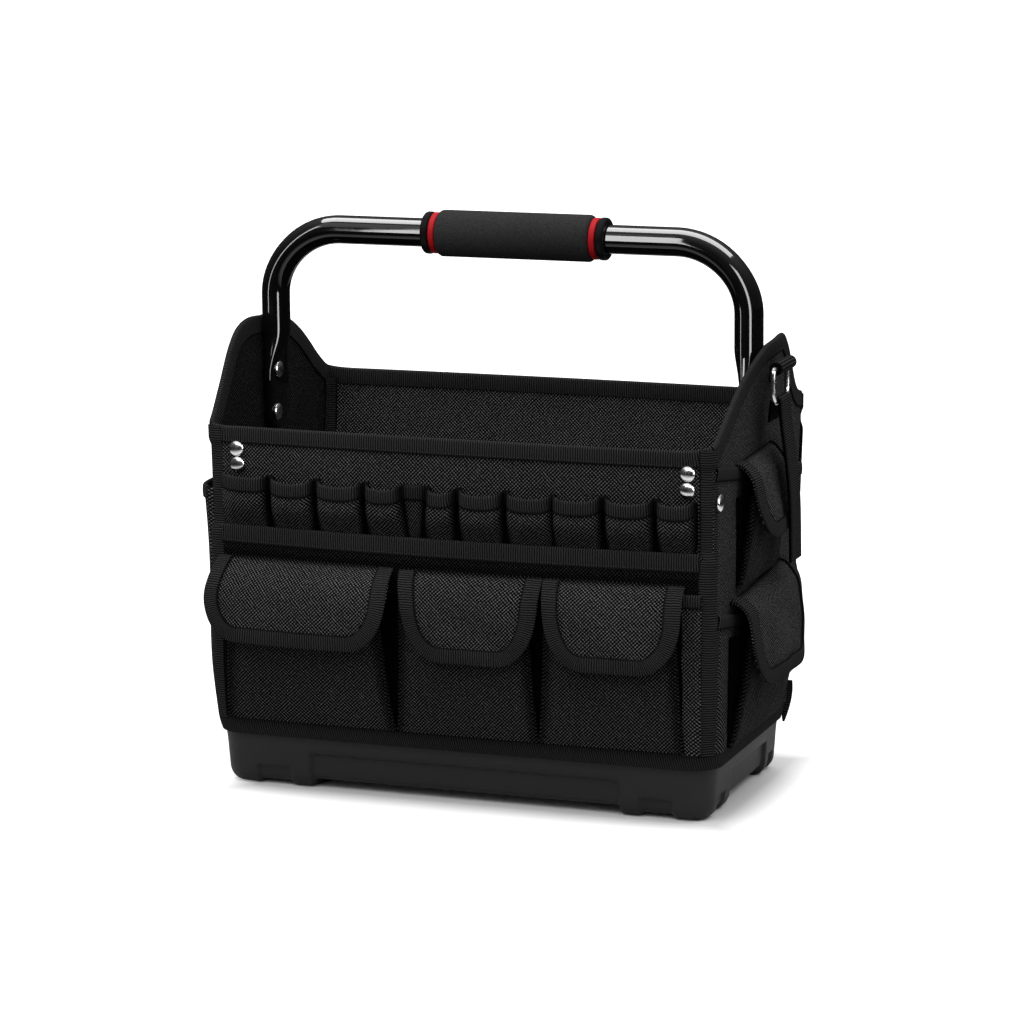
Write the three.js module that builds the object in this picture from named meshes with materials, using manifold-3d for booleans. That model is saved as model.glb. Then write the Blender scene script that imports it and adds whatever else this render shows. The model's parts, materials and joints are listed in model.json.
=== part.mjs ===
// Open-top tool tote bag: black cloth walls sewn round a moulded tray, flap pockets and tool loops on the
// outside, and a bent steel tube handle with a foam grip. Millimetres, +Z up, X across the front, Y back.
// Sizes are measured from the floor under the middle of the tray, and the finished bag is then moved so that
// the origin is on the floor under the middle of its whole box.

import * as THREE from 'three';
import { mergeVertices } from 'three/addons/utils/BufferGeometryUtils.js';
import Module from 'manifold-3d';

// Cloth body, measured on the outside of the cloth
const FRONT_RIM_Z = 280;
const BACK_RIM_Z = 285;
const CLOTH_FOOT_Z = 36.3;
const RIM_CORNER_R = 8;
const GABLE_RISE = 70;
const GABLE_TOP_HALF = 36;
const GABLE_FOOT_INSET = 4;
const GABLE_ROUNDING = 14;
const GABLE_ROWS = [0.4, 0.77, 0.91, 1];

// Sections of the cloth body going up: half sizes, corner radius, and how far the long sides and ends bow out
const BODY_SECTIONS = [
  { z: CLOTH_FOOT_Z, halfX: 197.8, halfY: 107.3, corner: 22, bow: 0, endBow: 0 },
  { z: 80, halfX: 198.2, halfY: 108.3, corner: 15, bow: 4.5, endBow: 1 },
  { z: 150, halfX: 198.8, halfY: 110, corner: 9, bow: 8.5, endBow: 2 },
  { z: 205, halfX: 199.4, halfY: 111.3, corner: RIM_CORNER_R, bow: 8.5, endBow: 2 },
  { z: FRONT_RIM_Z, halfX: 200, halfY: 113, corner: RIM_CORNER_R, bow: 4, endBow: 0 },
];

// How far an end stands out beside the handle: drawn in to the flat leg, pushed out by the round tube
const END_LEANS = [
  { z: 205, lean: 0 }, { z: 264, lean: -1 }, { z: 318, lean: -1 },
  { z: 338.6, lean: 6.4 }, { z: 352, lean: 7.4 },
];
const LEAN_FULL_TO = 20;
const LEAN_ENDS_AT = 48;

// Runs from the middle of a side at which the walls are divided
const LONG_SIDE_STATIONS = [0, 38, 76, 114, 150];
const END_STATIONS = [0, LEAN_FULL_TO, 34, LEAN_ENDS_AT, 76];

// Thicknesses and clearances
const CLOTH = 2;
const POCKET_CLOTH = 1.6;
const TAPE = 1.2;
const WEBBING = 1.6;
const GAP = 0.3;
const SEAM_GAP = 0.25;
const GABLE_GAP = 1.1;
const CORNER_GAP = 0.6;
const RIVET_CLEAR = 0.7;
const WELD = 1e-4;

// Tapes that bind the edges
const RIM_TAPE = 10.5;
const GABLE_TAPE = 13;
const CORNER_TAPE_LONG_SIDE = 11.5;
const CORNER_TAPE_END = 13;
const BASE_TAPE_FROM_Z = 35.5;
const BASE_TAPE_TO_Z = 48.5;
const FLAP_TAPE = 11;
const CORNER_TAPE_SPANS = 3;
const BASE_TAPE_SPANS = 4;

// Second cloth layer on the two long sides
const APRON_FOOT_Z = 49;
const APRON_TOP_Z = 204.5;
const APRON_STAND_OFF = 2;
const APRON_TAPE = 13;
const APRON_FACE = APRON_STAND_OFF + POCKET_CLOTH;
const POCKET_SEAT = APRON_FACE + GAP;

// Tool loops under the front rim
const LOOP_TOP_Z = 243;
const LOOP_FOOT_Z = 207.2;
const LOOP_BULGE = 9;
const LOOP_FOOT_SHARE = 0.72;
const LOOP_SEAM_HALF = 1.3;
const LOOP_CLOTH = 1.4;

// Plan of a loop across its span, as shares of its width and its bulge; a flat one is sewn down all the way
const ROUND_LOOP = [
  { share: 0, out: 0 }, { share: 0.2, out: 0.78 }, { share: 0.5, out: 1 }, { share: 0.8, out: 0.78 },
  { share: 1, out: 0 },
];
const FLAT_LOOP = [{ share: 0, out: 0 }, { share: 1, out: 0 }];

// Moulded tray
const TRAY_HALF_X = 195.5;
const TRAY_HALF_Y = 105;
const TRAY_CORNER_R = 19.7;
const TRAY_TOP_Z = 47;
const TRAY_WALL = 3;
const TRAY_FLOOR_Z = 11;
const TRAY_BELLY_Z = 7;
const FOOT_LENGTH_X = 76;
const FOOT_LENGTH_Y = 56;
const PANEL_RECESS = 3;
const PANEL_TOP_Z = 24;
const NOTCH_FROM_CORNER = 30;
const NOTCH_LENGTH = 26;
const NOTCH_TOP_Z = 14;
const NOTCH_SIDE_LENGTH = 16;
const NOTCH_SIDE_FROM_CORNER = 26;
const CORNER_STEPS = 4;

// Insets of the tray's outer and inner faces going up
const TRAY_OUTSIDE = [
  { z: 0, inset: 9 }, { z: 2, inset: 5 }, { z: 8, inset: 2.4 }, { z: CLOTH_FOOT_Z - GAP, inset: 0 },
  { z: TRAY_TOP_Z, inset: 0 },
];
const TRAY_INSIDE = [
  { z: TRAY_FLOOR_Z, inset: TRAY_WALL + 5 }, { z: TRAY_FLOOR_Z + 5, inset: TRAY_WALL + 2.5 },
  { z: CLOTH_FOOT_Z - GAP, inset: TRAY_WALL }, { z: TRAY_TOP_Z + 1, inset: TRAY_WALL },
];

// Handle
const TUBE_R = 11;
const TUBE_X = 191.4;
const TUBE_Z = 418.5;
const BEND_R = 56;
const FLAT_X = 193.7;
const FLAT_HALF_THICK = 3;
const FLAT_HALF_WIDE = 17;
const FLAT_TO_Z = 318;
const ROUND_FROM_Z = 346;
const TUBE_FOOT_Z = 256;
const TUBE_SIDES = 10;
const GRIP_SHIFT = 7;
const GRIP_HALF = 67;
const GRIP_R = 18;
const GRIP_EASING = 2.5;
const RED_RING_R = 15.8;
const RED_RING_LENGTH = 4.8;
const COLLAR_R = 16.3;
const COLLAR_LENGTH = 6.5;
const SLEEVE_SIDES = 12;
const BEND_STEPS = 6;

// Width of the handle's flat foot going up, as a share of the full width
const HANDLE_FOOT = [
  { z: TUBE_FOOT_Z, wide: 0.62 }, { z: TUBE_FOOT_Z + 4, wide: 0.9 }, { z: TUBE_FOOT_Z + 10, wide: 1 },
  { z: FLAT_TO_Z, wide: 1 },
];

// Rivets
const RIVET_HEAD_R = 5.4;
const RIVET_HEAD_H = 2.8;
const RIVET_SHANK_R = 2.5;
const RIVET_HOLE_R = 2.85;
const RIVET_BACK_R = 4.6;
const RIVET_BACK_H = 1.2;
const RIVET_BACK_RIM = 0.2;
const RIVET_SIDES = 8;
const DRILL_LENGTH = 40;
const FRONT_RIVET_X = 180;
const FRONT_RIVET_Z = [263.6, 251.8];
const HANDLE_RIVET_Z = [307, 271];
const SIDE_RIVET_Y = -100;
const SIDE_RIVET_Z = 243;

// Ring, its tab and the strap that hangs from it, on the right end
const RING_Y = 7;
const RING_X = 219;
const RING_BAR_Z = 319;
const RING_HALF = 19.5;
const RING_DROP = 22;
const RING_WIRE_R = 2;
const RING_CORNER_R = 4;
const RING_WIRE_SIDES = 6;
const WEBBING_HALF = 15;
const TAB_SEAT_RISE = 8;
const TAB_TOP_RISE = 17;
const STRAP_SEWN_FROM = 6;
const STRAP_SEWN_TO = 18;
const STRAP_FOOT_Z = 188;

// Spans of the tool loops along the front
const LOOP_STRIPS = [
  { name: 'left', spans: [{ from: -186, to: -151 }, { from: -151, to: -114 }, { from: -114, to: -77 },
    { from: -77, to: -47 }] },
  { name: 'mid', spans: [{ from: -47, to: -27, flat: true }, { from: -27, to: 0 }, { from: 0, to: 36 },
    { from: 36, to: 73 }] },
  { name: 'right', spans: [{ from: 73, to: 113 }, { from: 113, to: 152 }, { from: 152, to: 186 }] },
];

// Flap pockets: middle and width along the side at the foot, heights, how far the mouth stands out, and the
// flap's middle, width, seam height, drop and stand-out. Each seat is the face that it is sewn to.
const FRONT_POCKETS = [
  { name: 'left', mid: -118.4, width: 124, stand: 27, flapMid: -121.5, flapWidth: 148, flapStand: 35 },
  { name: 'mid', mid: 3.5, width: 110, stand: 25, flapMid: 16, flapWidth: 111, flapStand: 33 },
  { name: 'right', mid: 117.2, width: 107.6, stand: 25, flapMid: 129, flapWidth: 112, flapStand: 33 },
];
const BACK_POCKETS = [
  { name: 'left', mid: 92, width: 176, stand: 20, flapMid: 92, flapWidth: 180, flapStand: 27 },
  { name: 'right', mid: -92, width: 176, stand: 20, flapMid: -92, flapWidth: 180, flapStand: 27 },
];
const LONG_SIDE_POCKET = {
  footZ: 49.2, mouthZ: 172, inset: 6, seamZ: 189, drop: 76, seat: POCKET_SEAT, flapSeat: POCKET_SEAT,
};
const SIDE_POCKETS = [
  { name: 'high', mid: -35, width: 44, footZ: 168, mouthZ: 248, stand: 20, inset: 4,
    seat: 2 * GAP + POCKET_CLOTH, flapMid: -34, flapWidth: 40, seamZ: 264, drop: 60, flapStand: 29,
    flapSeat: GAP },
  { name: 'low', mid: -8, width: 112, footZ: 49.2, mouthZ: 146, stand: 23, inset: 9,
    seat: 3 * GAP + 2 * POCKET_CLOTH, flapMid: -8, flapWidth: 98, seamZ: 163, drop: 70, flapStand: 32,
    flapSeat: 2 * GAP + POCKET_CLOTH },
];
const SLIP_FOOT_Z = 49;
const RIGHT_SLIPS = [
  { name: 'high', topZ: 254, lift: GAP, swell: 0 },
  { name: 'low', topZ: 151, lift: 2 * GAP + POCKET_CLOTH, swell: 0 },
];
const LEFT_SLIP = { topZ: 238, lift: GAP, swell: 7 };
const EDGE_STRIP = { from: 174.2, topZ: 176 };

// Shape of a pocket: stand-out at its foot, how it swells going up, and its rounded front edges
const POCKET_FOOT_OUT = 1.2;
const POCKET_FOOT_INSET = 0.5;
const POCKET_SWELL = 0.85;
const POCKET_EDGE_R = 4;
const POCKET_EDGE_SHARE = 0.4;
const POCKET_CROWN = 3;

// Fold of a flap seen from its end, as shares of its stand-out and its drop
const FLAP_FOLD = [
  { out: 0, down: 0 }, { out: 0.8, down: 0.04 }, { out: 0.97, down: 0.17 }, { out: 1, down: 0.42 },
  { out: 0.88, down: 1 },
];
const FLAP_SAG = 0.1;
const FLAP_CORNER_R = 25;
const FLAP_CORNER_SHARE = 0.55;
const FLAP_TAPE_SHARE = 0.4;
const FLAP_MIDWAY = 0.4;
const FLAP_EDGE_SHARE = 0.94;

const clamp = (x, low, high) => Math.min(Math.max(x, low), high);
const mix = (a, b, t) => a + (b - a) * t;
const ease = (t) => t * t * (3 - 2 * t);
const cutAt = (from, to, stations) => [from, ...stations.filter((x) => x > from + 0.5 && x < to - 0.5), to];
const mirrored = (stations) => [...stations.slice(1).map((x) => -x).reverse(), ...stations];
const between = (from, to, steps) => Array.from({ length: steps + 1 }, (_, i) => mix(from, to, i / steps));

// Value of a column of a table at a height, straight between the rows
function read(rows, column, z) {
  const next = rows.findIndex((row) => row.z >= z);
  if (next === 0) return rows[0][column];
  if (next < 0) return rows.at(-1)[column];
  const [below, above] = [rows[next - 1], rows[next]];
  return mix(below[column], above[column], (z - below.z) / (above.z - below.z));
}

// The lower of two heights, rounded over where they cross
function softMin(a, b, rounding) {
  const overlap = Math.max(rounding - Math.abs(a - b), 0) / rounding;
  return Math.min(a, b) - (overlap * overlap * rounding) / 4;
}

const wasm = await Module();
wasm.setup();

// Closed body from points and triangles, turned so that its faces point out
function body(points, triangles) {
  let volume = 0;
  for (const [a, b, c] of triangles) {
    volume += points[a].dot(points[b].clone().cross(points[c]));
  }
  const faces = volume < 0 ? triangles.map(([a, b, c]) => [a, c, b]) : triangles;
  const geometry = new THREE.BufferGeometry();
  geometry.setFromPoints(points);
  geometry.setIndex(faces.flat());
  return geometry;
}

// Two triangles for the four corners of a patch, in order round it
const patch = (a, b, c, d) => [[a, b, c], [a, c, d]];

// Closed thin wall between two grids of points with equal rows
function wall(inner, outer) {
  const rows = inner.length;
  const columns = inner[0].length;
  const points = [...inner.flat(), ...outer.flat()];
  const far = rows * columns;
  const at = (row, column) => row * columns + column;
  const triangles = [];
  for (let row = 0; row + 1 < rows; row += 1) {
    for (let column = 0; column + 1 < columns; column += 1) {
      const corners = [at(row, column), at(row, column + 1), at(row + 1, column + 1), at(row + 1, column)];
      triangles.push(...patch(...corners.map((corner) => corner + far)), ...patch(...corners.reverse()));
    }
  }
  const border = [];
  for (let column = 0; column < columns - 1; column += 1) border.push(at(0, column));
  for (let row = 0; row < rows - 1; row += 1) border.push(at(row, columns - 1));
  for (let column = columns - 1; column > 0; column -= 1) border.push(at(rows - 1, column));
  for (let row = rows - 1; row > 0; row -= 1) border.push(at(row, 0));
  border.forEach((here, i) => {
    const next = border[(i + 1) % border.length];
    triangles.push(...patch(here, next, next + far, here + far));
  });
  return body(points, triangles);
}

// Closed body through equal rings of points; the section closes the two ends of an open run
function loft(rings, section = null) {
  const count = rings[0].length;
  const points = rings.flat();
  const triangles = [];
  const spans = section ? rings.length - 1 : rings.length;
  for (let ring = 0; ring < spans; ring += 1) {
    const here = ring * count;
    const next = ((ring + 1) % rings.length) * count;
    for (let side = 0; side < count; side += 1) {
      const turn = (side + 1) % count;
      triangles.push(...patch(here + side, here + turn, next + turn, next + side));
    }
  }
  if (section) {
    const last = (rings.length - 1) * count;
    const clockwise = THREE.ShapeUtils.isClockWise(section);
    for (const corners of THREE.ShapeUtils.triangulateShape(section, [])) {
      const [a, b, c] = clockwise ? [...corners].reverse() : corners;
      triangles.push([a, c, b], [last + a, last + b, last + c]);
    }
  }
  return body(points, triangles);
}

// Geometry with nothing but its points, shared between the triangles that meet there
function welded(geometry) {
  geometry.deleteAttribute('normal');
  geometry.deleteAttribute('uv');
  return mergeVertices(geometry, WELD);
}

// Solid for adding and cutting, and back to a mesh
function toSolid(geometry) {
  const merged = welded(geometry.clone());
  return new wasm.Manifold(new wasm.Mesh({
    numProp: 3,
    vertProperties: new Float32Array(merged.attributes.position.array),
    triVerts: new Uint32Array(merged.index.array),
  }));
}

function fromSolid(solid) {
  const mesh = solid.getMesh();
  const geometry = new THREE.BufferGeometry();
  geometry.setAttribute('position', new THREE.BufferAttribute(new Float32Array(mesh.vertProperties), 3));
  geometry.setIndex(new THREE.BufferAttribute(new Uint32Array(mesh.triVerts), 1));
  return geometry;
}

function join(...geometries) {
  return fromSolid(geometries.map(toSolid).reduce((all, next) => all.add(next)));
}

function cut(geometry, ...tools) {
  return fromSolid(tools.map(toSolid).reduce((all, tool) => all.subtract(tool), toSolid(geometry)));
}

// Sides of the bag, each seen from outside with its run going to the right
const SIDES = {
  front: { cos: 1, sin: 0, long: true, rimStart: FRONT_RIM_Z, rimEnd: FRONT_RIM_Z },
  right: { cos: 0, sin: 1, long: false, rimStart: FRONT_RIM_Z, rimEnd: BACK_RIM_Z },
  back: { cos: -1, sin: 0, long: true, rimStart: BACK_RIM_Z, rimEnd: BACK_RIM_Z },
  left: { cos: 0, sin: -1, long: false, rimStart: BACK_RIM_Z, rimEnd: FRONT_RIM_Z },
};

// How far a side bows out at a run and a height
function bowOut(side, run, flat, z) {
  const belly = Math.max(0, 1 - (run / flat) ** 2);
  if (side.long) return belly * read(BODY_SECTIONS, 'bow', z);
  const nearLeg = clamp((LEAN_ENDS_AT - Math.abs(run)) / (LEAN_ENDS_AT - LEAN_FULL_TO), 0, 1);
  return belly * read(BODY_SECTIONS, 'endBow', z) + nearLeg * read(END_LEANS, 'lean', z);
}

// Half sizes of a side at a height: its reach to the corner, its distance out, and the corner's radius
function sideSize(side, z) {
  const halfX = read(BODY_SECTIONS, 'halfX', z);
  const halfY = read(BODY_SECTIONS, 'halfY', z);
  const corner = read(BODY_SECTIONS, 'corner', z);
  return side.long ? { reach: halfX, out: halfY, corner } : { reach: halfY, out: halfX, corner };
}

// Half the run of a side, from its middle to the seam at the middle of the corner's arc
function halfRun(side, z) {
  const { reach, corner } = sideSize(side, z);
  return reach - corner + (corner * Math.PI) / 4;
}

// Run at which a side begins to turn its corner
function arcStart(side, z) {
  const { reach, corner } = sideSize(side, z);
  return reach - corner;
}

const toBag = (side, along, out, z) => (
  new THREE.Vector3(along * side.cos + out * side.sin, along * side.sin - out * side.cos, z)
);

// Point of the cloth at a run along a side, a height, and a distance out from its outer face. The plan is a
// rounded rectangle whose sides bow out between the corners.
function place(side, run, z, off) {
  const { reach, out, corner } = sideSize(side, z);
  const flat = reach - corner;
  const turn = Math.max(0, Math.abs(run) - flat) / corner;
  const hand = Math.sign(run);
  const straight = hand * Math.min(Math.abs(run), flat);
  const along = straight + hand * (corner + off) * Math.sin(turn);
  const middle = out - corner + bowOut(side, straight, flat, z);
  return toBag(side, along, middle + (corner + off) * Math.cos(turn), z);
}

// Point in front of a side, for what stands off it and doesn't turn its corners
function placeFlat(side, run, z, off) {
  const { reach, out, corner } = sideSize(side, z);
  return toBag(side, run, out + bowOut(side, run, reach - corner, z) + off, z);
}

const levels = (from, to) => cutAt(from, to, BODY_SECTIONS.map(({ z }) => z));
const stationsOf = (side) => mirrored(side.long ? LONG_SIDE_STATIONS : END_STATIONS);

// Height of a side's top edge: level on the long sides, a gable with a rounded top on the ends
function topEdge(side, run) {
  const half = halfRun(side, FRONT_RIM_Z);
  const rim = mix(side.rimStart, side.rimEnd, (run + half) / (2 * half));
  if (side.long) return rim;
  const slope = GABLE_RISE / (half - GABLE_FOOT_INSET - GABLE_TOP_HALF);
  const climb = Math.max(0, half - GABLE_FOOT_INSET - Math.abs(run)) * slope;
  return rim + softMin(climb, GABLE_RISE, GABLE_ROUNDING);
}

// Wall panel of one side, from the tray to its top edge. The last rows follow the top edge.
function panel(side) {
  const gather = BODY_SECTIONS.at(-2).z;
  const rows = [
    ...levels(CLOTH_FOOT_Z, gather).map((z) => () => z),
    ...(side.long ? [1] : GABLE_ROWS).map((share) => (top) => mix(gather, top, share)),
  ];
  const stations = (z) => {
    const [turn, end] = [arcStart(side, z), halfRun(side, z)];
    const turns = [turn, (turn + end) / 2, end - SEAM_GAP];
    return [...turns.map((run) => -run).reverse(), ...stationsOf(side), ...turns];
  };
  const grid = (off) => rows.map((row) => stations(FRONT_RIM_Z).map((atRim, i) => {
    const z = row(topEdge(side, atRim));
    return place(side, stations(z)[i], z, off);
  }));
  return wall(grid(-CLOTH), grid(0));
}

// Flat layer on a side, from one edge to another at each height, which may swell out in its upper middle
function layer(side, fromRun, toRun, footZ, topZ, lift, swell = 0) {
  const grid = (off) => levels(footZ, topZ).map((z) => {
    const [from, to] = [fromRun(z), toRun(z)];
    const turn = arcStart(side, z);
    const stations = cutAt(fromRun(topZ), toRun(topZ), stationsOf(side)).slice(1, -1);
    const runs = [from, Math.max(-turn, from + 1), ...stations, Math.min(turn, to - 1), to];
    return runs.map((run) => {
      const middle = 1 - ((2 * run - from - to) / (to - from)) ** 2;
      return place(side, run, z, lift + off + (swell * middle * (z - footZ)) / (topZ - footZ));
    });
  });
  return wall(grid(0), grid(POCKET_CLOTH));
}

// Section of a tape folded over an edge: distance in from the edge, and distance out from the cloth's face
function foldSection(width, face, back, gap) {
  const far = gap + TAPE;
  return [
    [width, face + gap], [-gap, face + gap], [-gap, back - gap], [width, back - gap],
    [width, back - far], [-far, back - gap], [-far, face + gap], [width, face + far],
  ].map(([inward, off]) => new THREE.Vector2(inward, off));
}

// Tape folded over a side's top edge, laid square to that edge
function foldedTape(side, edge, runs, width, face, back, gap = GAP) {
  const section = foldSection(width, face, back, gap);
  const nudge = 0.5;
  const rings = runs.map((run) => {
    const climb = (edge(run + nudge) - edge(run - nudge)) / (2 * nudge);
    const length = Math.hypot(1, climb);
    return section.map(({ x: inward, y: off }) => (
      place(side, run + (climb / length) * inward, edge(run) - inward / length, off)
    ));
  });
  return loft(rings, section);
}

// Tape down a corner, lying on both of the sides that meet there
function cornerTape(before, after, widthBefore, widthAfter, topZ) {
  const across = [
    ...between(-widthBefore, 0, CORNER_TAPE_SPANS),
    ...between(0, widthAfter, CORNER_TAPE_SPANS).slice(1),
  ];
  const grid = (off) => levels(BASE_TAPE_TO_Z + GAP, topZ).map((z) => across.map((from) => (
    from < 0
      ? place(before, halfRun(before, z) + from, z, off)
      : place(after, from - halfRun(after, z), z, off)
  )));
  return wall(grid(CORNER_GAP), grid(CORNER_GAP + TAPE));
}

// One end's tape: up a corner, over the gable and down the other corner
function endTape(side, before, after) {
  const half = halfRun(side, FRONT_RIM_Z) - RIM_CORNER_R + 1;
  const runs = cutAt(-half, half, stationsOf(side));
  const gable = foldedTape(side, (run) => topEdge(side, run), runs, GABLE_TAPE, 0, -CLOTH, GABLE_GAP);
  const lip = GAP + TAPE;
  return join(
    gable,
    cornerTape(before, side, CORNER_TAPE_LONG_SIDE, CORNER_TAPE_END, side.rimStart + lip),
    cornerTape(side, after, CORNER_TAPE_END, CORNER_TAPE_LONG_SIDE, side.rimEnd + lip),
  );
}

// Tape round the foot of the cloth, a closed band
function baseTape() {
  const near = CORNER_GAP;
  const far = CORNER_GAP + TAPE;
  const rings = Object.values(SIDES).flatMap((side) => {
    const flat = arcStart(side, CLOTH_FOOT_Z);
    const end = halfRun(side, CLOTH_FOOT_Z);
    const runs = [
      ...between(-end, -flat, CORNER_TAPE_SPANS),
      ...between(-flat, flat, BASE_TAPE_SPANS).slice(1, -1),
      ...between(flat, end, CORNER_TAPE_SPANS).slice(0, -1),
    ];
    return runs.map((run) => (
      [[BASE_TAPE_FROM_Z, near], [BASE_TAPE_TO_Z, near], [BASE_TAPE_TO_Z, far], [BASE_TAPE_FROM_Z, far]]
        .map(([z, off]) => place(side, (run / end) * halfRun(side, z), z, off))
    ));
  });
  return loft(rings);
}

// Thin wall that follows a line of points (run, out) at each height, thickened to the line's left side
function followed(side, seat, heights, lineAt, thick) {
  const inner = [];
  const outer = [];
  for (const z of heights) {
    const line = lineAt(z);
    const normals = line.map((point, i) => {
      const before = point.clone().sub(line[Math.max(i - 1, 0)]).normalize();
      const after = line[Math.min(i + 1, line.length - 1)].clone().sub(point).normalize();
      const sum = before.add(after).normalize();
      const known = i === 0 ? after : line[i].clone().sub(line[i - 1]).normalize();
      const square = new THREE.Vector2(-sum.y, sum.x);
      const spread = Math.max(square.dot(new THREE.Vector2(-known.y, known.x)), 0.6);
      return square.divideScalar(spread);
    });
    inner.push(line.map((point) => placeFlat(side, point.x, z, seat + point.y)));
    outer.push(line.map((point, i) => (
      placeFlat(side, point.x + normals[i].x * thick, z, seat + point.y + normals[i].y * thick)
    )));
  }
  return wall(inner, outer);
}

// Row of tool loops: the strip is sewn flat at each seam and stands out between them
function loopStrip({ spans }) {
  const lineAt = (z) => {
    const bulge = LOOP_BULGE * mix(LOOP_FOOT_SHARE, 1, (z - LOOP_FOOT_Z) / (LOOP_TOP_Z - LOOP_FOOT_Z));
    return spans.flatMap(({ from, to, flat }) => {
      const start = from + LOOP_SEAM_HALF;
      const end = to - LOOP_SEAM_HALF;
      const plan = flat ? FLAT_LOOP : ROUND_LOOP;
      return plan.map(({ share, out }) => new THREE.Vector2(mix(start, end, share), out * bulge));
    });
  };
  return followed(SIDES.front, GAP, [LOOP_FOOT_Z, LOOP_TOP_Z], lineAt, LOOP_CLOTH);
}

// Pocket open at the top: two gussets and a face, standing out at the mouth and lying flat at the foot
function pocket(side, { mid, width, footZ, mouthZ, stand, inset, seat }) {
  const lineAt = (z) => {
    const rise = (z - footZ) / (mouthZ - footZ);
    const out = mix(POCKET_FOOT_OUT, stand, rise ** POCKET_SWELL);
    const edge = width / 2 - mix(POCKET_FOOT_INSET, inset, rise);
    const rounding = Math.min(POCKET_EDGE_R, out * POCKET_EDGE_SHARE);
    const crown = POCKET_CROWN * rise;
    const half = [
      { run: width / 2, out: 0 }, { run: edge, out: out - rounding }, { run: edge - rounding, out },
      { run: edge / 2, out: out + (2 * crown) / 3 },
    ];
    const left = half.map(({ run, out: stands }) => new THREE.Vector2(mid - run, stands));
    const right = half.map(({ run, out: stands }) => new THREE.Vector2(mid + run, stands)).reverse();
    return [...left, new THREE.Vector2(mid, out + crown), ...right];
  };
  return followed(side, seat, levels(footZ, mouthZ), lineAt, POCKET_CLOTH);
}

// Flap: out from its seam, over the mouth and down in front. Its surface takes a distance across and a
// distance down the cloth, and gives the place at a height off the cloth's inner face.
function flapSurface(side, { flapMid, flapWidth, seamZ, drop, flapStand, flapSeat }) {
  const fold = FLAP_FOLD.map(({ out, down }) => new THREE.Vector2(out * flapStand, -down * drop));
  const ways = fold.slice(1).map((spot, i) => spot.clone().sub(fold[i]).normalize());
  const normals = fold.map((_, i) => {
    const before = ways[Math.max(i - 1, 0)];
    const after = ways[Math.min(i, ways.length - 1)];
    const sum = before.clone().add(after).normalize();
    return new THREE.Vector2(-sum.y, sum.x).divideScalar(sum.dot(after));
  });
  const knots = [0];
  fold.slice(1).forEach((spot, i) => knots.push(knots[i] + spot.distanceTo(fold[i])));
  const point = (across, along, off) => {
    const span = clamp(knots.findIndex((knot) => knot >= along - 1e-6), 1, fold.length - 1);
    const share = (along - knots[span - 1]) / (knots[span] - knots[span - 1]);
    const [from, to] = [span - 1, span].map((i) => fold[i].clone().addScaledVector(normals[i], off));
    const spot = from.lerp(to, share);
    const sag = 1 - FLAP_SAG * Math.abs((2 * across) / flapWidth) ** 3;
    return placeFlat(side, flapMid + across, seamZ + spot.y, flapSeat + spot.x * sag);
  };
  return { point, knots, length: knots.at(-1), half: flapWidth / 2 };
}

const cornerRadius = (half) => Math.min(FLAP_CORNER_R, half * FLAP_CORNER_SHARE);
const flapTapeWidth = (half) => Math.min(FLAP_TAPE, half * FLAP_TAPE_SHARE);

function flap(side, row) {
  const { point, knots, length, half } = flapSurface(side, row);
  const radius = cornerRadius(half);
  const shares = [0, FLAP_MIDWAY, 1 - flapTapeWidth(half) / half, FLAP_EDGE_SHARE, 1];
  const across = mirrored(shares).map((share) => share * half);
  const reach = (x) => {
    const past = Math.max(0, Math.abs(x) - (half - radius));
    return length - radius + Math.sqrt(Math.max(0, radius ** 2 - past ** 2));
  };
  const grid = (off) => knots.map((knot) => across.map((x) => point(x, Math.min(knot, reach(x)), off)));
  return wall(grid(0), grid(POCKET_CLOTH));
}

// Tape round a flap's two sides and its rounded foot
function flapTape(side, row) {
  const { point, knots, length, half } = flapSurface(side, row);
  const radius = cornerRadius(half);
  const edge = knots.slice(1, -1).map((knot) => ({ x: half, y: knot, nx: -1, ny: 0 }));
  for (const angle of between(0, Math.PI / 2, 3)) {
    const nx = -Math.cos(angle);
    const ny = -Math.sin(angle);
    edge.push({ x: half - radius - radius * nx, y: length - radius - radius * ny, nx, ny });
  }
  edge.push({ x: FLAP_MIDWAY * half, y: length, nx: 0, ny: -1 }, { x: 0, y: length, nx: 0, ny: -1 });
  const otherHalf = edge.slice(0, -1).reverse().map(({ x, y, nx, ny }) => ({ x: -x, y, nx: -nx, ny }));
  const outline = [...edge, ...otherHalf];
  const grid = (off) => outline.map(({ x, y, nx, ny }) => (
    [0, flapTapeWidth(half)].map((inward) => point(x + nx * inward, y + ny * inward, off))
  ));
  return wall(grid(POCKET_CLOTH + GAP), grid(POCKET_CLOTH + GAP + TAPE));
}

// Ring of points of a rounded rectangle at a height
function roundedRing(halfX, halfY, radius, z) {
  const middles = [[1, 1], [-1, 1], [-1, -1], [1, -1]];
  return middles.flatMap(([signX, signY], quarter) => between(0, Math.PI / 2, CORNER_STEPS).map((angle) => (
    new THREE.Vector3(
      signX * (halfX - radius) + radius * Math.cos(angle + (quarter * Math.PI) / 2),
      signY * (halfY - radius) + radius * Math.sin(angle + (quarter * Math.PI) / 2),
      z,
    )
  )));
}

function block(fromX, toX, fromY, toY, fromZ, toZ) {
  const box = new THREE.BoxGeometry(toX - fromX, toY - fromY, toZ - fromZ);
  return box.translate((fromX + toX) / 2, (fromY + toY) / 2, (fromZ + toZ) / 2);
}

// Body through rounded rectangles, each at a height and an inset from the tray's outer face
function trayLoft(rows) {
  const rings = rows.map(({ z, inset }) => (
    roundedRing(TRAY_HALF_X - inset, TRAY_HALF_Y - inset, TRAY_CORNER_R - inset, z)
  ));
  const section = rings[0].map(({ x, y }) => new THREE.Vector2(x, y));
  return loft(rings, section);
}

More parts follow.
